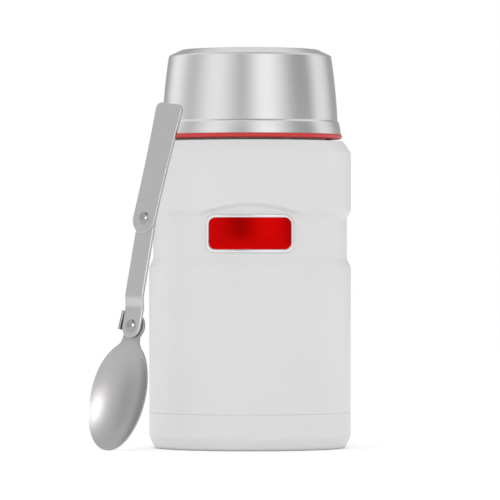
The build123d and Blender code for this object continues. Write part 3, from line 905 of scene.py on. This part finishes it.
        # The wall keeps that share of what it stands proud of the waist.
        proud = add_node(tree, "ShaderNodeMath", {0: radius, 1: waist}, operation="SUBTRACT")
        stays = add_node(tree, "ShaderNodeMath", {0: proud, 1: kept, 2: waist}, operation="MULTIPLY_ADD")
        share = add_node(tree, "ShaderNodeMath", {0: stays, 1: radius}, operation="DIVIDE")
        pressed = add_node(tree, "ShaderNodeVectorMath", {0: flat, 1: share}, operation="MULTIPLY")
        upright = add_node(tree, "ShaderNodeCombineXYZ", {"Z": parts["Z"]})
        goal = add_node(tree, "ShaderNodeVectorMath", {0: pressed, 1: upright}, operation="ADD")
        touched = add_node(tree, "FunctionNodeCompare", {0: parts["Z"], 1: get["Lowest"]})
        for value, limit in ((front, get["Facing"]), (proud, 0.0)):
            more = add_node(tree, "FunctionNodeCompare", {0: value, 1: limit})
            touched = add_node(tree, "FunctionNodeBooleanMath", {0: touched, 1: more})
        feeds = {"Geometry": get["Mesh"], "Selection": touched, "Position": goal}
        end_tree(tree, given, add_node(tree, "GeometryNodeSetPosition", feeds))
        return tree


@dataclass
class Badge(SubAssembly):
    """The curved badge: a silver border with a rounded bead, and a plate of red lacquer let into it."""

    title = "badge"
    corner: float = 4.5 * MM
    border: float = 1.3 * MM
    frame_thickness: float = 0.9 * MM
    recess: float = 0.5 * MM
    plate_thickness: float = 0.6 * MM
    plate_crown: float = 0.12 * MM
    bead: float = 0.4 * MM
    straight_steps: int = 40
    corner_steps: int = 10
    bead_steps: int = 5
    crown_steps: int = 8
    sliver: float = 0.02 * MM  # what is left of an outline that has shrunk to a line
    sharp: float = math.radians(50)  # a sharper fold is shaded as an edge

    def build(self) -> None:
        """Makes the border and the plate, and stands them in for the CAD's."""
        section = self.border_section()
        border = self.plaque("badge_border", "badge_frame", section, self.frame_thickness, self.corner)
        border.data.materials.append(BADGE_SILVER.material())
        self.place(border, "jar", "badge_border", "badge_frame")
        section = self.plate_section()
        corner = self.corner - self.border
        plate = self.plaque("badge_plate_red", "badge_plate", section, self.plate_thickness, corner)
        plate.data.materials.append(BADGE_RED.material())
        self.place(plate, "jar", "badge_red", "badge_plate")

    def finishes(self) -> dict[str, Finish]:
        """Only the pad under the badge stays as the CAD has it."""
        return {"badge_adhesive": PAD_RUBBER}

    def border_section(self) -> list[Point]:
        """Draws the border with its bead, and the floor inside it.

        Returns:
            Inset and lift of each point, from the back's middle to the front's.
        """
        low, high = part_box("badge_frame")
        middle = (high.z - low.z) / 2
        shoulder = self.frame_thickness - self.bead
        floor = self.frame_thickness - self.recess
        section = [(middle, 0), (self.bead / 2, 0), (0, self.bead / 2), (0, shoulder)]
        section += self.quarter(0, shoulder, 1)
        section += self.quarter(self.border, shoulder, -1)[::-1]
        return section + [(self.border, floor), (middle, floor)]

    def plate_section(self) -> list[Point]:
        """Draws the plate with its rounded edge and its low crown.

        Returns:
            Inset and lift of each point, from the back's middle to the front's.
        """
        low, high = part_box("badge_plate")
        middle = (high.z - low.z) / 2
        edge = self.plate_thickness - self.plate_crown - self.bead
        section = [(middle, 0), (0, 0), (0, edge), *self.quarter(0, edge, 1)]
        crown_from = section[-1][0]
        for step in range(1, self.crown_steps + 1):
            share = step / self.crown_steps
            lift = edge + self.bead + self.plate_crown * math.sin(share * math.pi / 2)
            section.append((crown_from + (middle - crown_from) * share, lift))
        return section

    def quarter(self, edge: float, foot: float, way: int) -> list[Point]:
        """Rounds an edge of the section.

        Args:
            edge: Inset of the edge.
            foot: Lift at which the rounding starts.
            way: 1 if the rounding leads inwards, -1 if outwards.

        Returns:
            Inset and lift of its points, from the foot up.
        """
        turns = [step / self.bead_steps * math.pi / 2 for step in range(1, self.bead_steps + 1)]
        return [
            (edge + way * self.bead * (1 - math.cos(turn)), foot + self.bead * math.sin(turn))
            for turn in turns
        ]

    def outline(self, width: float, height: float, corner: float) -> list[Point]:
        """Walks round a rounded rectangle, always with the same count of points.

        Args:
            width: Its whole width.
            height: Its whole height.
            corner: Its rounding.

        Returns:
            Across and up of each point, anticlockwise.
        """
        across, up = width / 2 - corner, height / 2 - corner
        centres = [(across, up), (-across, up), (-across, -up), (across, -up)]
        points = []
        bend, steps = self.corner_steps, self.straight_steps
        for place, (x, y) in enumerate(centres):
            turns = [(place + step / bend) * math.pi / 2 for step in range(bend + 1)]
            points += [(x + corner * math.cos(turn), y + corner * math.sin(turn)) for turn in turns]
            end = points[-1]
            x, y = centres[(place + 1) % len(centres)]
            start = (x + corner * math.cos(turns[-1]), y + corner * math.sin(turns[-1]))
            points += [between(end, start, step / steps) for step in range(1, steps)]
        return points

    def plaque(self, name: str, node: str, section: list[Point], thickness: float, corner: float) -> Piece:
        """Carries a section round a rounded rectangle that is bent to the body.

        Args:
            name: The piece's name.
            node: The CAD node that gives its width, height and place.
            section: Inset from the outline and lift from the back of each point of its section.
            thickness: From its back to its front.
            corner: Rounding of the outline.

        Returns:
            The closed piece.
        """
        low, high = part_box(node)
        back = -low.y - thickness
        width, height = high.x - low.x, high.z - low.z
        low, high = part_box("badge_frame")
        middle = (low.z + high.z) / 2
        vertices = []
        for inset, lift in section:
            inset = min(inset, height / 2 - self.sliver)
            rounding = max(corner - inset, self.sliver / 2)
            for across, up in self.outline(width - 2 * inset, height - 2 * inset, rounding):
                depth = math.sqrt((back + lift) ** 2 - across**2)
                vertices.append(Vector((across, -depth, middle + up)))
        piece = smooth_piece(name, vertices, lofted(len(section), len(vertices) // len(section)))
        weld = piece.modifiers.new("weld", "WELD")
        weld.merge_threshold = 3 * self.sliver
        settle(piece, self.sharp)
        return piece


@dataclass
class Vessel(SubAssembly):
    """The vacuum vessel, what is wrapped round it, and the thread rolled on the neck."""

    title = "vessel"
    thread_lift: float = 2.9 * MM  # over the ledge

    def build(self) -> None:
        """Makes the neck's thread."""
        body = PaintedBody()
        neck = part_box("outer_shell")[1].x - body.neck_inset
        ridge = ThreadRidge("neck_thread", neck, body.ledge_height + self.thread_lift, ThreadSide.OUTSIDE)
        self.place(ridge.make(POWDER_WHITE), "jar", "powder_coated_steel")

    def finishes(self) -> dict[str, Finish]:
        """Electropolished inside, with foil and getter in the vacuum."""
        return {"inner_vessel": VESSEL_STEEL, "foil_shield": VESSEL_FOIL, "getter": GETTER_METAL}


@dataclass
class Stopper(SubAssembly):
    """The screw stopper with its skirt, plug, foam and seal."""

    title = "stopper"
    skirt_wall: float = 1.6 * MM
    outer_ridge: float = 0.35 * MM
    thread_lift: float = 1.4 * MM  # of the skirt's inner thread over the skirt's lower edge
    outer_thread_lift: float = 2.6 * MM
    inner_lag: float = 0.5  # the inner thread starts opposite the outer one

    def build(self) -> None:
        """Makes the skirt's two threads."""
        low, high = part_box("stopper_top")
        wall, foot = high.x - self.skirt_wall, low.z + self.thread_lift
        outer_foot = low.z + self.outer_thread_lift
        ridges = (
            ThreadRidge("skirt_inner_thread", wall, foot, ThreadSide.INSIDE, lag=self.inner_lag),
            ThreadRidge(
                "skirt_outer_thread", high.x, outer_foot, ThreadSide.OUTSIDE, ridge=self.outer_ridge, sunk=0.0
            ),
        )
        for ridge in ridges:
            self.place(ridge.make(STOPPER_PLASTIC), "stopper", "stopper_plastic")

    def finishes(self) -> dict[str, Finish]:
        """Dark plastic, pale seal, white foam."""
        return {
            "stopper_gasket": GASKET_SILICONE,
            "stopper_top": STOPPER_PLASTIC,
            "stopper_plug": STOPPER_PLASTIC,
            "stopper_foam": STOPPER_FOAM,
        }


@dataclass
class ServingBowl(SubAssembly):
    """The double-walled bowl with its red lip ring and the insert that holds its thread."""

    title = "serving bowl"
    insert_inner: float = 41.2 * MM
    ridge: float = 0.35 * MM
    thread_lift: float = 2.4 * MM  # over the insert's lower edge

    def build(self) -> None:
        """Makes the insert's thread."""
        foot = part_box("bowl_thread_insert")[0].z + self.thread_lift
        ridge = ThreadRidge(
            "insert_thread", self.insert_inner, foot, ThreadSide.INSIDE, ridge=self.ridge, sunk=0.0
        )
        self.place(ridge.make(INSERT_PLASTIC), "serving_bowl", "insert_plastic")

    def finishes(self) -> dict[str, Finish]:
        """Turned steel outside, spun steel inside, red lip, black insert."""
        return {
            "bowl_lip_ring": RING_PLASTIC,
            "bowl_outer_shell": BOWL_STEEL,
            "bowl_inner_shell": VESSEL_STEEL,
            "bowl_thread_insert": INSERT_PLASTIC,
        }


# ----------------------------------------------------------------------------------------------
# The folding spoon
# ----------------------------------------------------------------------------------------------


@dataclass
class StampedStrip:
    """A blank of steel strip with rivet holes, pressed to shape.

    Its own axes have the lower rivet at the origin, X across the spoon, Y along it and Z out of its front.
    """

    strip: float = 1.5 * MM
    hole_radius: float = 1.7 * MM
    hole_steps: int = 20
    spacing: float = 0.7 * MM  # of the points that the sheet is filled with
    border_gap: float = 0.6  # share of the spacing that stays free of inner points along the edges
    inside_only: int = 1  # kind of triangulation that leaves out what is outside the blank
    tolerance: float = 1e-7  # points nearer than this are one

    def outline(self) -> list[Point]:
        """Walks round the blank, anticlockwise."""
        raise NotImplementedError

    def holes(self) -> list[float]:
        """Gives the places of the rivet holes along the strip."""
        return [0.0]

    def heights(self, x: float, y: float) -> tuple[float, float]:
        """Gives the front's and the back's height at a point of the blank."""
        raise NotImplementedError

    def sheet(self) -> tuple[list[Vector], list[Face], list[tuple[int, int]]]:
        """Fills the blank with even triangles, open at the holes.

        Returns:
            Points, triangles, and the edges round the blank and its holes, each with the sheet on its left.
        """
        border = self.outline()
        rings = [border]
        rings += [arc(self.hole_radius, math.tau, 0, self.hole_steps, hole)[:-1] for hole in self.holes()]
        fixed = []
        edges = []
        for ring in rings:
            first = len(fixed)
            edges += [(first + place, first + (place + 1) % len(ring)) for place in range(len(ring))]
            fixed += ring
        nearest = self.spacing * self.border_gap
        inner = [
            point
            for point in self.grid(border)
            if min(math.dist(point, other) for other in fixed) > nearest and not self.in_hole(point)
        ]
        points = [Vector(point) for point in fixed + inner]
        blank = [list(range(len(border)))]
        made, _, faces, _, _, _ = delaunay_2d_cdt(points, edges, blank, self.inside_only, self.tolerance)
        kept = []
        for face in faces:
            middle = sum((made[place] for place in face), Vector((0, 0))) / len(face)
            if not self.in_hole(middle):
                kept.append(face)
        used = sorted({place for face in kept for place in face})
        number = {place: count for count, place in enumerate(used)}
        kept = [tuple(number[place] for place in face) for face in kept]
        rims = [(number[start], number[end]) for start, end in edges]
        return [made[place] for place in used], kept, rims

    def grid(self, border: list[Point]) -> list[Point]:
        """Covers the blank's extent with points that are staggered row by row.

        Args:
            border: The blank's outline.

        Returns:
            The points, some of them outside the blank.
        """
        columns, rows = ([value / self.spacing for value in values] for values in zip(*border))
        return [
            ((column + row % 2 / 2) * self.spacing, row * self.spacing)
            for row in range(math.floor(min(rows)), math.ceil(max(rows)))
            for column in range(math.floor(min(columns)), math.ceil(max(columns)))
        ]

    def in_hole(self, point: Point | Vector) -> bool:
        """Whether a point is in one of the holes."""
        return any(math.hypot(point[0], point[1] - hole) < self.hole_radius for hole in self.holes())

    def shell(self) -> tuple[list[Vector], list[Face]]:
        """Makes the closed piece in its own axes.

        Returns:
            Points and faces: the front, the back, and the edges between them.
        """
        flat, faces, edges = self.sheet()
        count = len(flat)
        levels = [self.heights(point.x, point.y) for point in flat]
        fronts, backs = zip(*levels)
        vertices = [Vector((point.x, point.y, z)) for side in (fronts, backs) for point, z in zip(flat, side)]
        back = [tuple(count + place for place in reversed(face)) for face in faces]
        return vertices, faces + back + [(start, count + start, count + end, end) for start, end in edges]


@dataclass
class SpoonLink(StampedStrip):
    """The middle strip: round at both ends, with its lower end set back in a soft double bend."""

    length: float = 53.0 * MM
    half_width: float = 5.8 * MM
    set_back: float = 1.6 * MM  # of the lower end behind the upper
    bend_start: float = 8.4 * MM
    bend_end: float = 15.4 * MM
    end_steps: int = 26

    def outline(self) -> list[Point]:
        """Walks round two half circles, and the sides between them in even steps.

        Returns:
            The points, anticlockwise.
        """
        count = round(self.length / self.spacing)
        up = [(self.half_width, self.length * step / count) for step in range(1, count)]
        down = [(-x, self.length - y) for x, y in up]
        top = arc(self.half_width, 0, math.pi, self.end_steps, self.length)
        return up + top + down + arc(self.half_width, math.pi, math.tau, self.end_steps)

    def holes(self) -> list[float]:
        """One at each end."""
        return [0.0, self.length]

    def heights(self, x: float, y: float) -> tuple[float, float]:
        """Sets the lower end back along the bend.

        Args:
            x: Place across the strip.
            y: Place along it.

        Returns:
            Height of the front and of the back.
        """
        share = (y - self.bend_start) / (self.bend_end - self.bend_start)
        front = self.strip - self.set_back * (1 - smooth_step(share))
        return front, front - self.strip


@dataclass
class SpoonScoop(StampedStrip):
    """The spoon's bowl: dished at one end, flat at the other, with a stop ear bent up beside the link."""

    length: float = 54.3 * MM
    width: float = 36.0 * MM
    shoulder: float = 7.6 * MM  # from the rivet to the dish
    dish: float = 6.3 * MM  # its depth in front
    back_dish: float = 7.5 * MM  # and behind
    rim: float = 1.0 * MM
    dish_reach: float = 0.98  # share of the dish's ball that its slope may use
    neck_width: float = 10.2 * MM
    flare: float = 7.0 * MM  # radius where the neck widens to the dish
    flare_steps: int = 12
    end_radius: float = 6.6 * MM  # round the rivet
    end_steps: int = 16
    tab_reach: float = 7.77 * MM  # of the ear's outer face from the rivet
    tab_low: float = -2.6 * MM
    tab_high: float = 4.8 * MM
    tab_steps: int = 4
    blend_start: float = -22 * MM  # where the rim starts to thicken towards the neck
    blend_end: float = -9 * MM
    neck_softness: float = 2.2 * MM
    ear_thickness: float = 1.3 * MM
    ear_high: float = 6.7 * MM  # its upper end along the spoon
    ear_rise: float = 2.3 * MM  # over the blank's front
    ear_bend: float = 0.9 * MM
    ear_edge: float = 0.3 * MM
    halvings: int = 40  # of the range in which the flare's arc is sought

    @property
    def middle(self) -> float:
        """Place of the dish's centre along the spoon."""
        return -self.shoulder - self.length / 2

    def flare_centre(self) -> tuple[float, float, float]:
        """Finds the arc that leads the neck's side into the dish's edge, by halving the angle's range.

        Returns:
            The arc's centre, and the ellipse's angle where the two meet.
        """
        wide, long = self.width / 2, self.length / 2
        low, high = 0.0, math.pi / 2
        for _ in range(self.halvings):
            angle = (low + high) / 2
            out = Vector((math.cos(angle) / wide, math.sin(angle) / long)).normalized()
            x = wide * math.cos(angle) + self.flare * out.x
            if x > self.neck_width / 2 + self.flare:
                low = angle
            else:
                high = angle
        return x, self.middle + long * math.sin(angle) + self.flare * out.y, angle

    def side(self) -> list[Point]:
        """Walks up the right edge.

        Returns:
            The points, from the dish's tip to the end of the neck.
        """
        wide, long = self.width / 2, self.length / 2
        x, y, angle = self.flare_centre()
        sweep = angle + math.pi / 2
        steps = round(sweep * (wide + long) / 2 / self.spacing)
        turns = [-math.pi / 2 + sweep * step / steps for step in range(steps + 1)]
        points = [(wide * math.cos(turn), self.middle + long * math.sin(turn)) for turn in turns]
        start = math.atan2(points[-1][1] - y, points[-1][0] - x) % math.tau
        neck = arc(self.flare, start, math.pi, self.flare_steps)[1:]
        return points + [(x + across, y + up) for across, up in neck]

    def outline(self) -> list[Point]:
        """Walks round the dish, the neck and the tab that becomes the ear.

        Returns:
            The points, anticlockwise.
        """
        right = self.side()
        left = [(-x, y) for x, y in reversed(right[1:])]
        meets = math.asin(self.neck_width / 2 / self.end_radius)
        leaves = math.pi - math.asin(self.tab_high / self.end_radius)
        returns = math.pi - math.asin(self.tab_low / self.end_radius)
        over = arc(self.end_radius, -math.pi / 2 + meets, leaves, self.end_steps)
        tab = [(-self.tab_reach, self.tab_high), (-self.tab_reach, self.tab_low)]
        under = arc(self.end_radius, returns, 1.5 * math.pi - meets, self.tab_steps)
        return right + over + tab + under + left

    def heights(self, x: float, y: float) -> tuple[float, float]:
        """Dishes the blank, and lets the dish run softly into the flat neck.

        Args:
            x: Place across the spoon.
            y: Place along it.

        Returns:
            Height of the front and of the back.
        """
        wide = self.width / 2
        reach = math.hypot(x, (y - self.middle) * self.width / self.length)
        towards_neck = smooth_step((y - self.blend_start) / (self.blend_end - self.blend_start))
        depths = []
        for dish in (self.dish, self.back_dish):
            ball = (wide**2 + dish**2) / (2 * dish)
            depths.append(math.sqrt(ball**2 - min(reach, ball * self.dish_reach) ** 2) - ball + dish)
        front = smooth_max(0.0, depths[0], self.neck_softness * towards_neck)
        plate = self.rim + (self.strip - self.rim) * towards_neck
        back = smooth_max(plate, depths[1] + self.rim / 2, self.rim + self.neck_softness * towards_neck / 2)
        return -front, -max(back, front + self.rim)

    def ear(self) -> tuple[list[Vector], list[Face]]:
        """Bends the tab up beside the link.

        Returns:
            Points and faces of the ear, closed.
        """
        inner = -self.tab_reach + self.ear_thickness
        corners = [
            (inner + self.ear_bend, -self.strip, 0),
            (-self.tab_reach, -self.strip, self.ear_bend),
            (-self.tab_reach, self.ear_rise, self.ear_edge),
            (inner, self.ear_rise, self.ear_edge),
            (inner, 0, self.ear_edge),
            (inner + self.ear_bend, 0, 0),
        ]
        section = rounded_profile(corners)
        count = len(section)
        vertices = [Vector((x, y, z)) for y in (self.tab_low, self.ear_high) for x, z in section]
        ends = [tuple(reversed(range(count))), tuple(range(count, 2 * count))]
        return vertices, lofted(2, count) + ends

    def shell(self) -> tuple[list[Vector], list[Face]]:
        """Adds the ear to the pressed blank.

        Returns:
            Points and faces of both.
        """
        vertices, faces = super().shell()
        ear_vertices, ear_faces = self.ear()
        first = len(vertices)
        ear_faces = [tuple(first + place for place in face) for face in ear_faces]
        return vertices + ear_vertices, faces + ear_faces


@dataclass
class FoldingSpoon(SubAssembly):
    """The folding spoon: handle, link and bowl of stamped strip, on two rivets with washers."""

    title = "spoon"
    link_turn: float = math.radians(2.2)  # of the link in the spoon's flat
    scoop_turn: float = math.radians(7.3)
    scoop_layer: float = -1.9 * MM  # of the bowl's front, from the joint's place
    edge_rounding: float = 0.4 * MM
    edge_steps: int = 3
    rounded_from: float = math.radians(50)  # a sharper fold is rounded

    def axes(self, turn: float) -> Matrix:
        """Gives the frame of a strip: X across, Y along, Z out of the spoon's front.

        Args:
            turn: How far the strip is turned in the spoon's flat.

        Returns:
            From the strip's own axes, with the lower rivet at their origin, to the part's.
        """
        joint = next(joint for joint in frame["joints"] if joint["name"] == "spoon_head_fold")
        front = Vector(joint["axis"]).normalized()
        level = Vector((-front.y, front.x, 0)).normalized()
        uphill = front.cross(level)
        along = uphill * math.cos(turn) + level * math.sin(turn)
        across = along.cross(front)
        turned = Matrix((across, along, front)).transposed().to_4x4()
        return Matrix.Translation(Vector(joint["pos_m"])) @ turned

    def steel(self, name: str, colour: str, other: str, roughness: float) -> Finish:
        """Gives a steel whose polish lines run along the strips."""
        turned = self.axes(self.scoop_turn).to_3x3() @ Euler((-math.pi / 2, 0, 0)).to_matrix()
        return SatinStrip(name, colour, roughness, other, turn=tuple(turned.to_euler()))

    def strip_steel(self) -> Finish:
        """The handle's and the link's steel."""
        return self.steel("satin_stainless_strip", "#D0CECF", "#BFBDBE", 0.36)

    def scoop_steel(self) -> Finish:
        """The bowl's steel: the strips' steel painted greyer, as painted shade for the darker reflections in
        its hollow.
        """
        return self.steel("painted_shade_stainless_strip", "#B0AEAF", "#AAA8A9", 0.37)

    def press(self, name: str, strip: StampedStrip, place: Matrix, finish: Finish) -> Piece:
        """Makes a pressed strip with rounded edges.

        Args:
            name: The piece's name.
            strip: Its blank and how it is pressed.
            place: From the strip's own axes to the part's.
            finish: Its steel.

        Returns:
            The piece.
        """
        vertices, faces = strip.shell()
        piece = smooth_piece(name, [place @ vertex for vertex in vertices], faces)
        rounded = piece.modifiers.new("rounded_edges", "BEVEL")
        rounded.width = self.edge_rounding
        rounded.segments = self.edge_steps
        rounded.angle_limit = self.rounded_from
        settle(piece, SHARP_EDGE)
        piece.data.materials.append(finish.material())
        return piece

    def build(self) -> None:
        """Presses the scoop and the link, and stands them in for the CAD's."""
        place = self.axes(self.scoop_turn) @ Matrix.Translation((0, 0, self.scoop_layer))
        scoop = self.press("spoon_scoop", SpoonScoop(), place, self.scoop_steel())
        self.place(scoop, "spoon_head", "spoon_steel", "spoon_bowl")
        link = self.press("spoon_middle_strip", SpoonLink(), self.axes(self.link_turn), self.strip_steel())
        self.place(link, "spoon_frame", "spoon_steel", "spoon_link")

    def finishes(self) -> dict[str, Finish]:
        """The handle is satin, and the rivet heads are brighter."""
        return {
            "spoon_handle": self.strip_steel(),
            "lower_rivet": RIVET_STEEL,
            "upper_rivet": RIVET_STEEL,
            "lower_washer": WASHER_PLASTIC,
            "upper_washer": WASHER_PLASTIC,
        }


# ----------------------------------------------------------------------------------------------
# The studio
# ----------------------------------------------------------------------------------------------


@dataclass(frozen=True)
class Panel:
    """A tall lit panel of the studio, as polished steel sees it. Angles are degrees from -Y towards +X."""

    middle: float
    half_width: float
    left_fade: float
    right_fade: float
    brightness: float


@dataclass(frozen=True)
class Softbox:
    """A square softbox that points at the jar; its size is in metres and its power in watts."""

    name: str
    place: tuple[float, float, float]
    size: float
    power: float


@dataclass
class Studio:
    """A white sweep under even light, with tall panels and dark gaps between them for the steel to show."""

    camera_place: tuple[float, float, float] = (0.0, -2.425, 0.09273)
    lens: float = 352.08
    upward_shift: float = 0.0214
    farthest: float = 50.0
    floor_half: float = 6.0
    floor_colour: str = "#F4F4F4"
    floor_roughness: float = 0.9
    floor_gloss: float = 0.1
    floor_lift: float = 0.14  # emission that lets the lit floor reach white
    low_light: float = 1.3  # even light from the sides
    high_light: float = 0.8  # and from overhead
    gap_brightness: float = 0.42
    ring_brightness: float = 0.96  # of the lit ring between wall and ceiling
    # Degrees over the horizon at which the ring starts, is full, starts to fade and ends.
    ring_heights: tuple[float, float, float, float] = (26.0, 46.0, 54.0, 68.0)
    key: Softbox = Softbox("key_softbox", (-0.6, -1.3, 0.64), 0.5, 4.9)
    overhead: Softbox = Softbox("overhead_softbox", (-0.1, -0.3, 1.4), 0.8, 2.4)
    panels: tuple[Panel, ...] = (
        Panel(-122, 1, 33, 44, 0.65),
        Panel(-47, 1, 54, 46, 0.62),
        Panel(21, 2, 36, 47, 0.74),
        Panel(109, 4, 23, 34, 0.52),
    )

    def build(self, lit: list[Piece]) -> None:
        """Sets up camera, surroundings, floor and softboxes.

        Args:
            lit: The objects that the key is for.
        """
        self.set_camera()
        self.light_room()
        self.hang_softbox(self.overhead, [self.lay_floor()])
        self.hang_softbox(self.key, lit)
        for piece in lit:
            piece.visible_diffuse = False  # so that the spoon doesn't shade the body beside it
        frame["nodes"]["spoon_handle"].visible_glossy = False  # nor its handle darken the lid
        bpy.context.scene.view_settings.view_transform = "Standard"
        LOG.info("studio: %d panels", len(self.panels))

    def set_camera(self) -> None:
        """Stands the camera in front of the badge, level, with a long lens."""
        camera = bpy.data.cameras.new("camera")
        camera.lens = self.lens
        camera.shift_y = self.upward_shift
        camera.clip_end = self.farthest
        stand = bpy.data.objects.new("camera", camera)
        stand.location = self.camera_place
        stand.rotation_euler = (math.pi / 2, 0, 0)
        bpy.context.scene.collection.objects.link(stand)
        bpy.context.scene.camera = stand

    def lay_floor(self) -> Piece:
        """Lays a pale floor that the camera sees as white where it is lit, and shaded under the jar.

        Returns:
            The floor.
        """
        half = self.floor_half
        corners = [Vector((x, y, 0)) for x, y in ((-half, -half), (half, -half), (half, half), (-half, half))]
        floor = smooth_piece("floor", corners, [(0, 1, 2, 3)])
        material = bpy.data.materials.new("white_sweep")
        material.use_nodes = True
        tree = material.node_tree
        shader = tree.nodes["Principled BSDF"]
        looks = {"Roughness": self.floor_roughness, "Specular IOR Level": self.floor_gloss}
        feed(tree, shader, {"Base Color": linear(self.floor_colour), **looks})
        seen = add_node(tree, "ShaderNodeLightPath").outputs
        straight = add_node(tree, "ShaderNodeMath", {0: seen["Is Camera Ray"], 1: seen["Is Glossy Ray"]})
        passed = add_node(tree, "ShaderNodeMath", {0: straight, 1: seen["Is Transmission Ray"]})
        lift = add_node(tree, "ShaderNodeMath", {0: passed, 1: self.floor_lift}, operation="MULTIPLY")
        glow = add_node(tree, "ShaderNodeEmission", {"Strength": lift})
        both = add_node(tree, "ShaderNodeAddShader", {0: shader, 1: glow})
        feed(tree, tree.nodes["Material Output"], {"Surface": both})
        floor.data.materials.append(material)
        return floor

    def hang_softbox(self, box: Softbox, lit: list[Piece]) -> None:
        """Hangs a softbox that is flagged off from all but a few objects.

        Args:
            box: The softbox.
            lit: The objects that it lights.
        """
        lamp = bpy.data.lights.new(box.name, "AREA")
        lamp.shape = "SQUARE"
        lamp.size = box.size
        lamp.energy = box.power
        hung = bpy.data.objects.new(box.name, lamp)
        hung.location = box.place
        hung.rotation_euler = (-Vector(box.place)).to_track_quat("-Z", "Y").to_euler()
        bpy.context.scene.collection.objects.link(hung)
        group = bpy.data.collections.new(f"lit_by_{box.name}")
        for piece in lit:
            group.objects.link(piece)
        hung.light_linking.receiver_collection = group

    def panelled_wall(self, tree: Tree, parts: bpy.types.bpy_prop_collection) -> Node:
        """Draws the tall panels and the gaps between them.

        Args:
            tree: The world's tree.
            parts: The direction's X, Y and Z.

        Returns:
            Their brightness in that direction.
        """
        facing = add_node(tree, "ShaderNodeMath", {0: parts["Y"], 1: -1.0}, operation="MULTIPLY")
        angle = add_node(tree, "ShaderNodeMath", {0: parts["X"], 1: facing}, operation="ARCTAN2")
        degrees = add_node(tree, "ShaderNodeMath", {0: angle}, operation="DEGREES")
        brightness = self.gap_brightness
        for panel in self.panels:
            edges = []
            for fade, way_out in ((panel.left_fade, -1), (panel.right_fade, 1)):
                edge = panel.middle + way_out * panel.half_width
                feeds = {"Value": degrees, "From Min": edge + way_out * fade, "From Max": edge}
                edges.append(add_node(tree, "ShaderNodeMapRange", feeds, interpolation_type="SMOOTHSTEP"))
            lit = add_node(tree, "ShaderNodeMath", {0: edges[0], 1: edges[1]}, operation="MULTIPLY")
            feeds = {0: lit, 1: panel.brightness, 2: brightness}
            brightness = add_node(tree, "ShaderNodeMath", feeds, operation="MULTIPLY_ADD")
        return brightness

    def lit_ring(self, tree: Tree, height: Socket, wall: Node) -> Node:
        """Lays the lit ring over the wall's upper end, and a plain ceiling over the ring.

        Args:
            tree: The world's tree.
            height: The direction's Z.
            wall: The wall's brightness.

        Returns:
            The brightness of wall, ring and ceiling.
        """
        rise = add_node(tree, "ShaderNodeMath", {0: height}, operation="ARCSINE")
        degrees = add_node(tree, "ShaderNodeMath", {0: rise}, operation="DEGREES")
        starts, full, fades, ends = self.ring_heights
        sides = []
        for dark, bright in ((starts, full), (ends, fades)):
            feeds = {"Value": degrees, "From Min": dark, "From Max": bright}
            sides.append(add_node(tree, "ShaderNodeMapRange", feeds, interpolation_type="SMOOTHSTEP"))
        ring = add_node(tree, "ShaderNodeMath", {0: sides[0], 1: sides[1]}, operation="MULTIPLY")
        over = add_node(tree, "ShaderNodeMath", {0: sides[0], 1: ring}, operation="SUBTRACT")
        ceiling = add_node(tree, "ShaderNodeMix", {0: over, 2: wall, 3: self.gap_brightness})
        return add_node(tree, "ShaderNodeMix", {0: ring, 2: ceiling, 3: self.ring_brightness})

    def light_room(self) -> None:
        """Makes the surroundings: white to the camera, panels to steel, even light to the rest."""
        world = bpy.data.worlds.new("studio")
        bpy.context.scene.world = world
        world.use_nodes = True
        tree = world.node_tree
        tree.nodes.clear()
        way = add_node(tree, "ShaderNodeTexCoord").outputs["Generated"]
        parts = add_node(tree, "ShaderNodeSeparateXYZ", {0: way}).outputs
        room = self.lit_ring(tree, parts["Z"], self.panelled_wall(tree, parts))
        feeds = {"Value": parts["Z"], "To Min": self.low_light, "To Max": self.high_light}
        fall = add_node(tree, "ShaderNodeMapRange", feeds)
        white = (1.0, 1.0, 1.0, 1.0)
        even, mirrored, sweep = (
            add_node(tree, "ShaderNodeBackground", {"Color": white, "Strength": strength})
            for strength in (fall, room, 1.0)
        )
        seen = add_node(tree, "ShaderNodeLightPath").outputs
        soft = add_node(tree, "ShaderNodeMixShader", {0: seen["Is Glossy Ray"], 1: even, 2: mirrored})
        feeds = {0: seen["Is Camera Ray"], 1: seen["Is Transmission Ray"]}
        straight = add_node(tree, "ShaderNodeMath", feeds, operation="MAXIMUM")
        shown = add_node(tree, "ShaderNodeMixShader", {0: straight, 1: soft, 2: sweep})
        add_node(tree, "ShaderNodeOutputWorld", {0: shown})


def main() -> None:
    """Builds every sub-assembly and the studio."""
    logging.basicConfig(level=logging.INFO, format="%(message)s")
    spoon = FoldingSpoon()
    for group in (PaintedBody(), Badge(), Vessel(), Stopper(), ServingBowl(), spoon):
        group.build()
        group.dress()
    Studio().build(spoon.pieces)


if __name__ == "__main__":
    main()
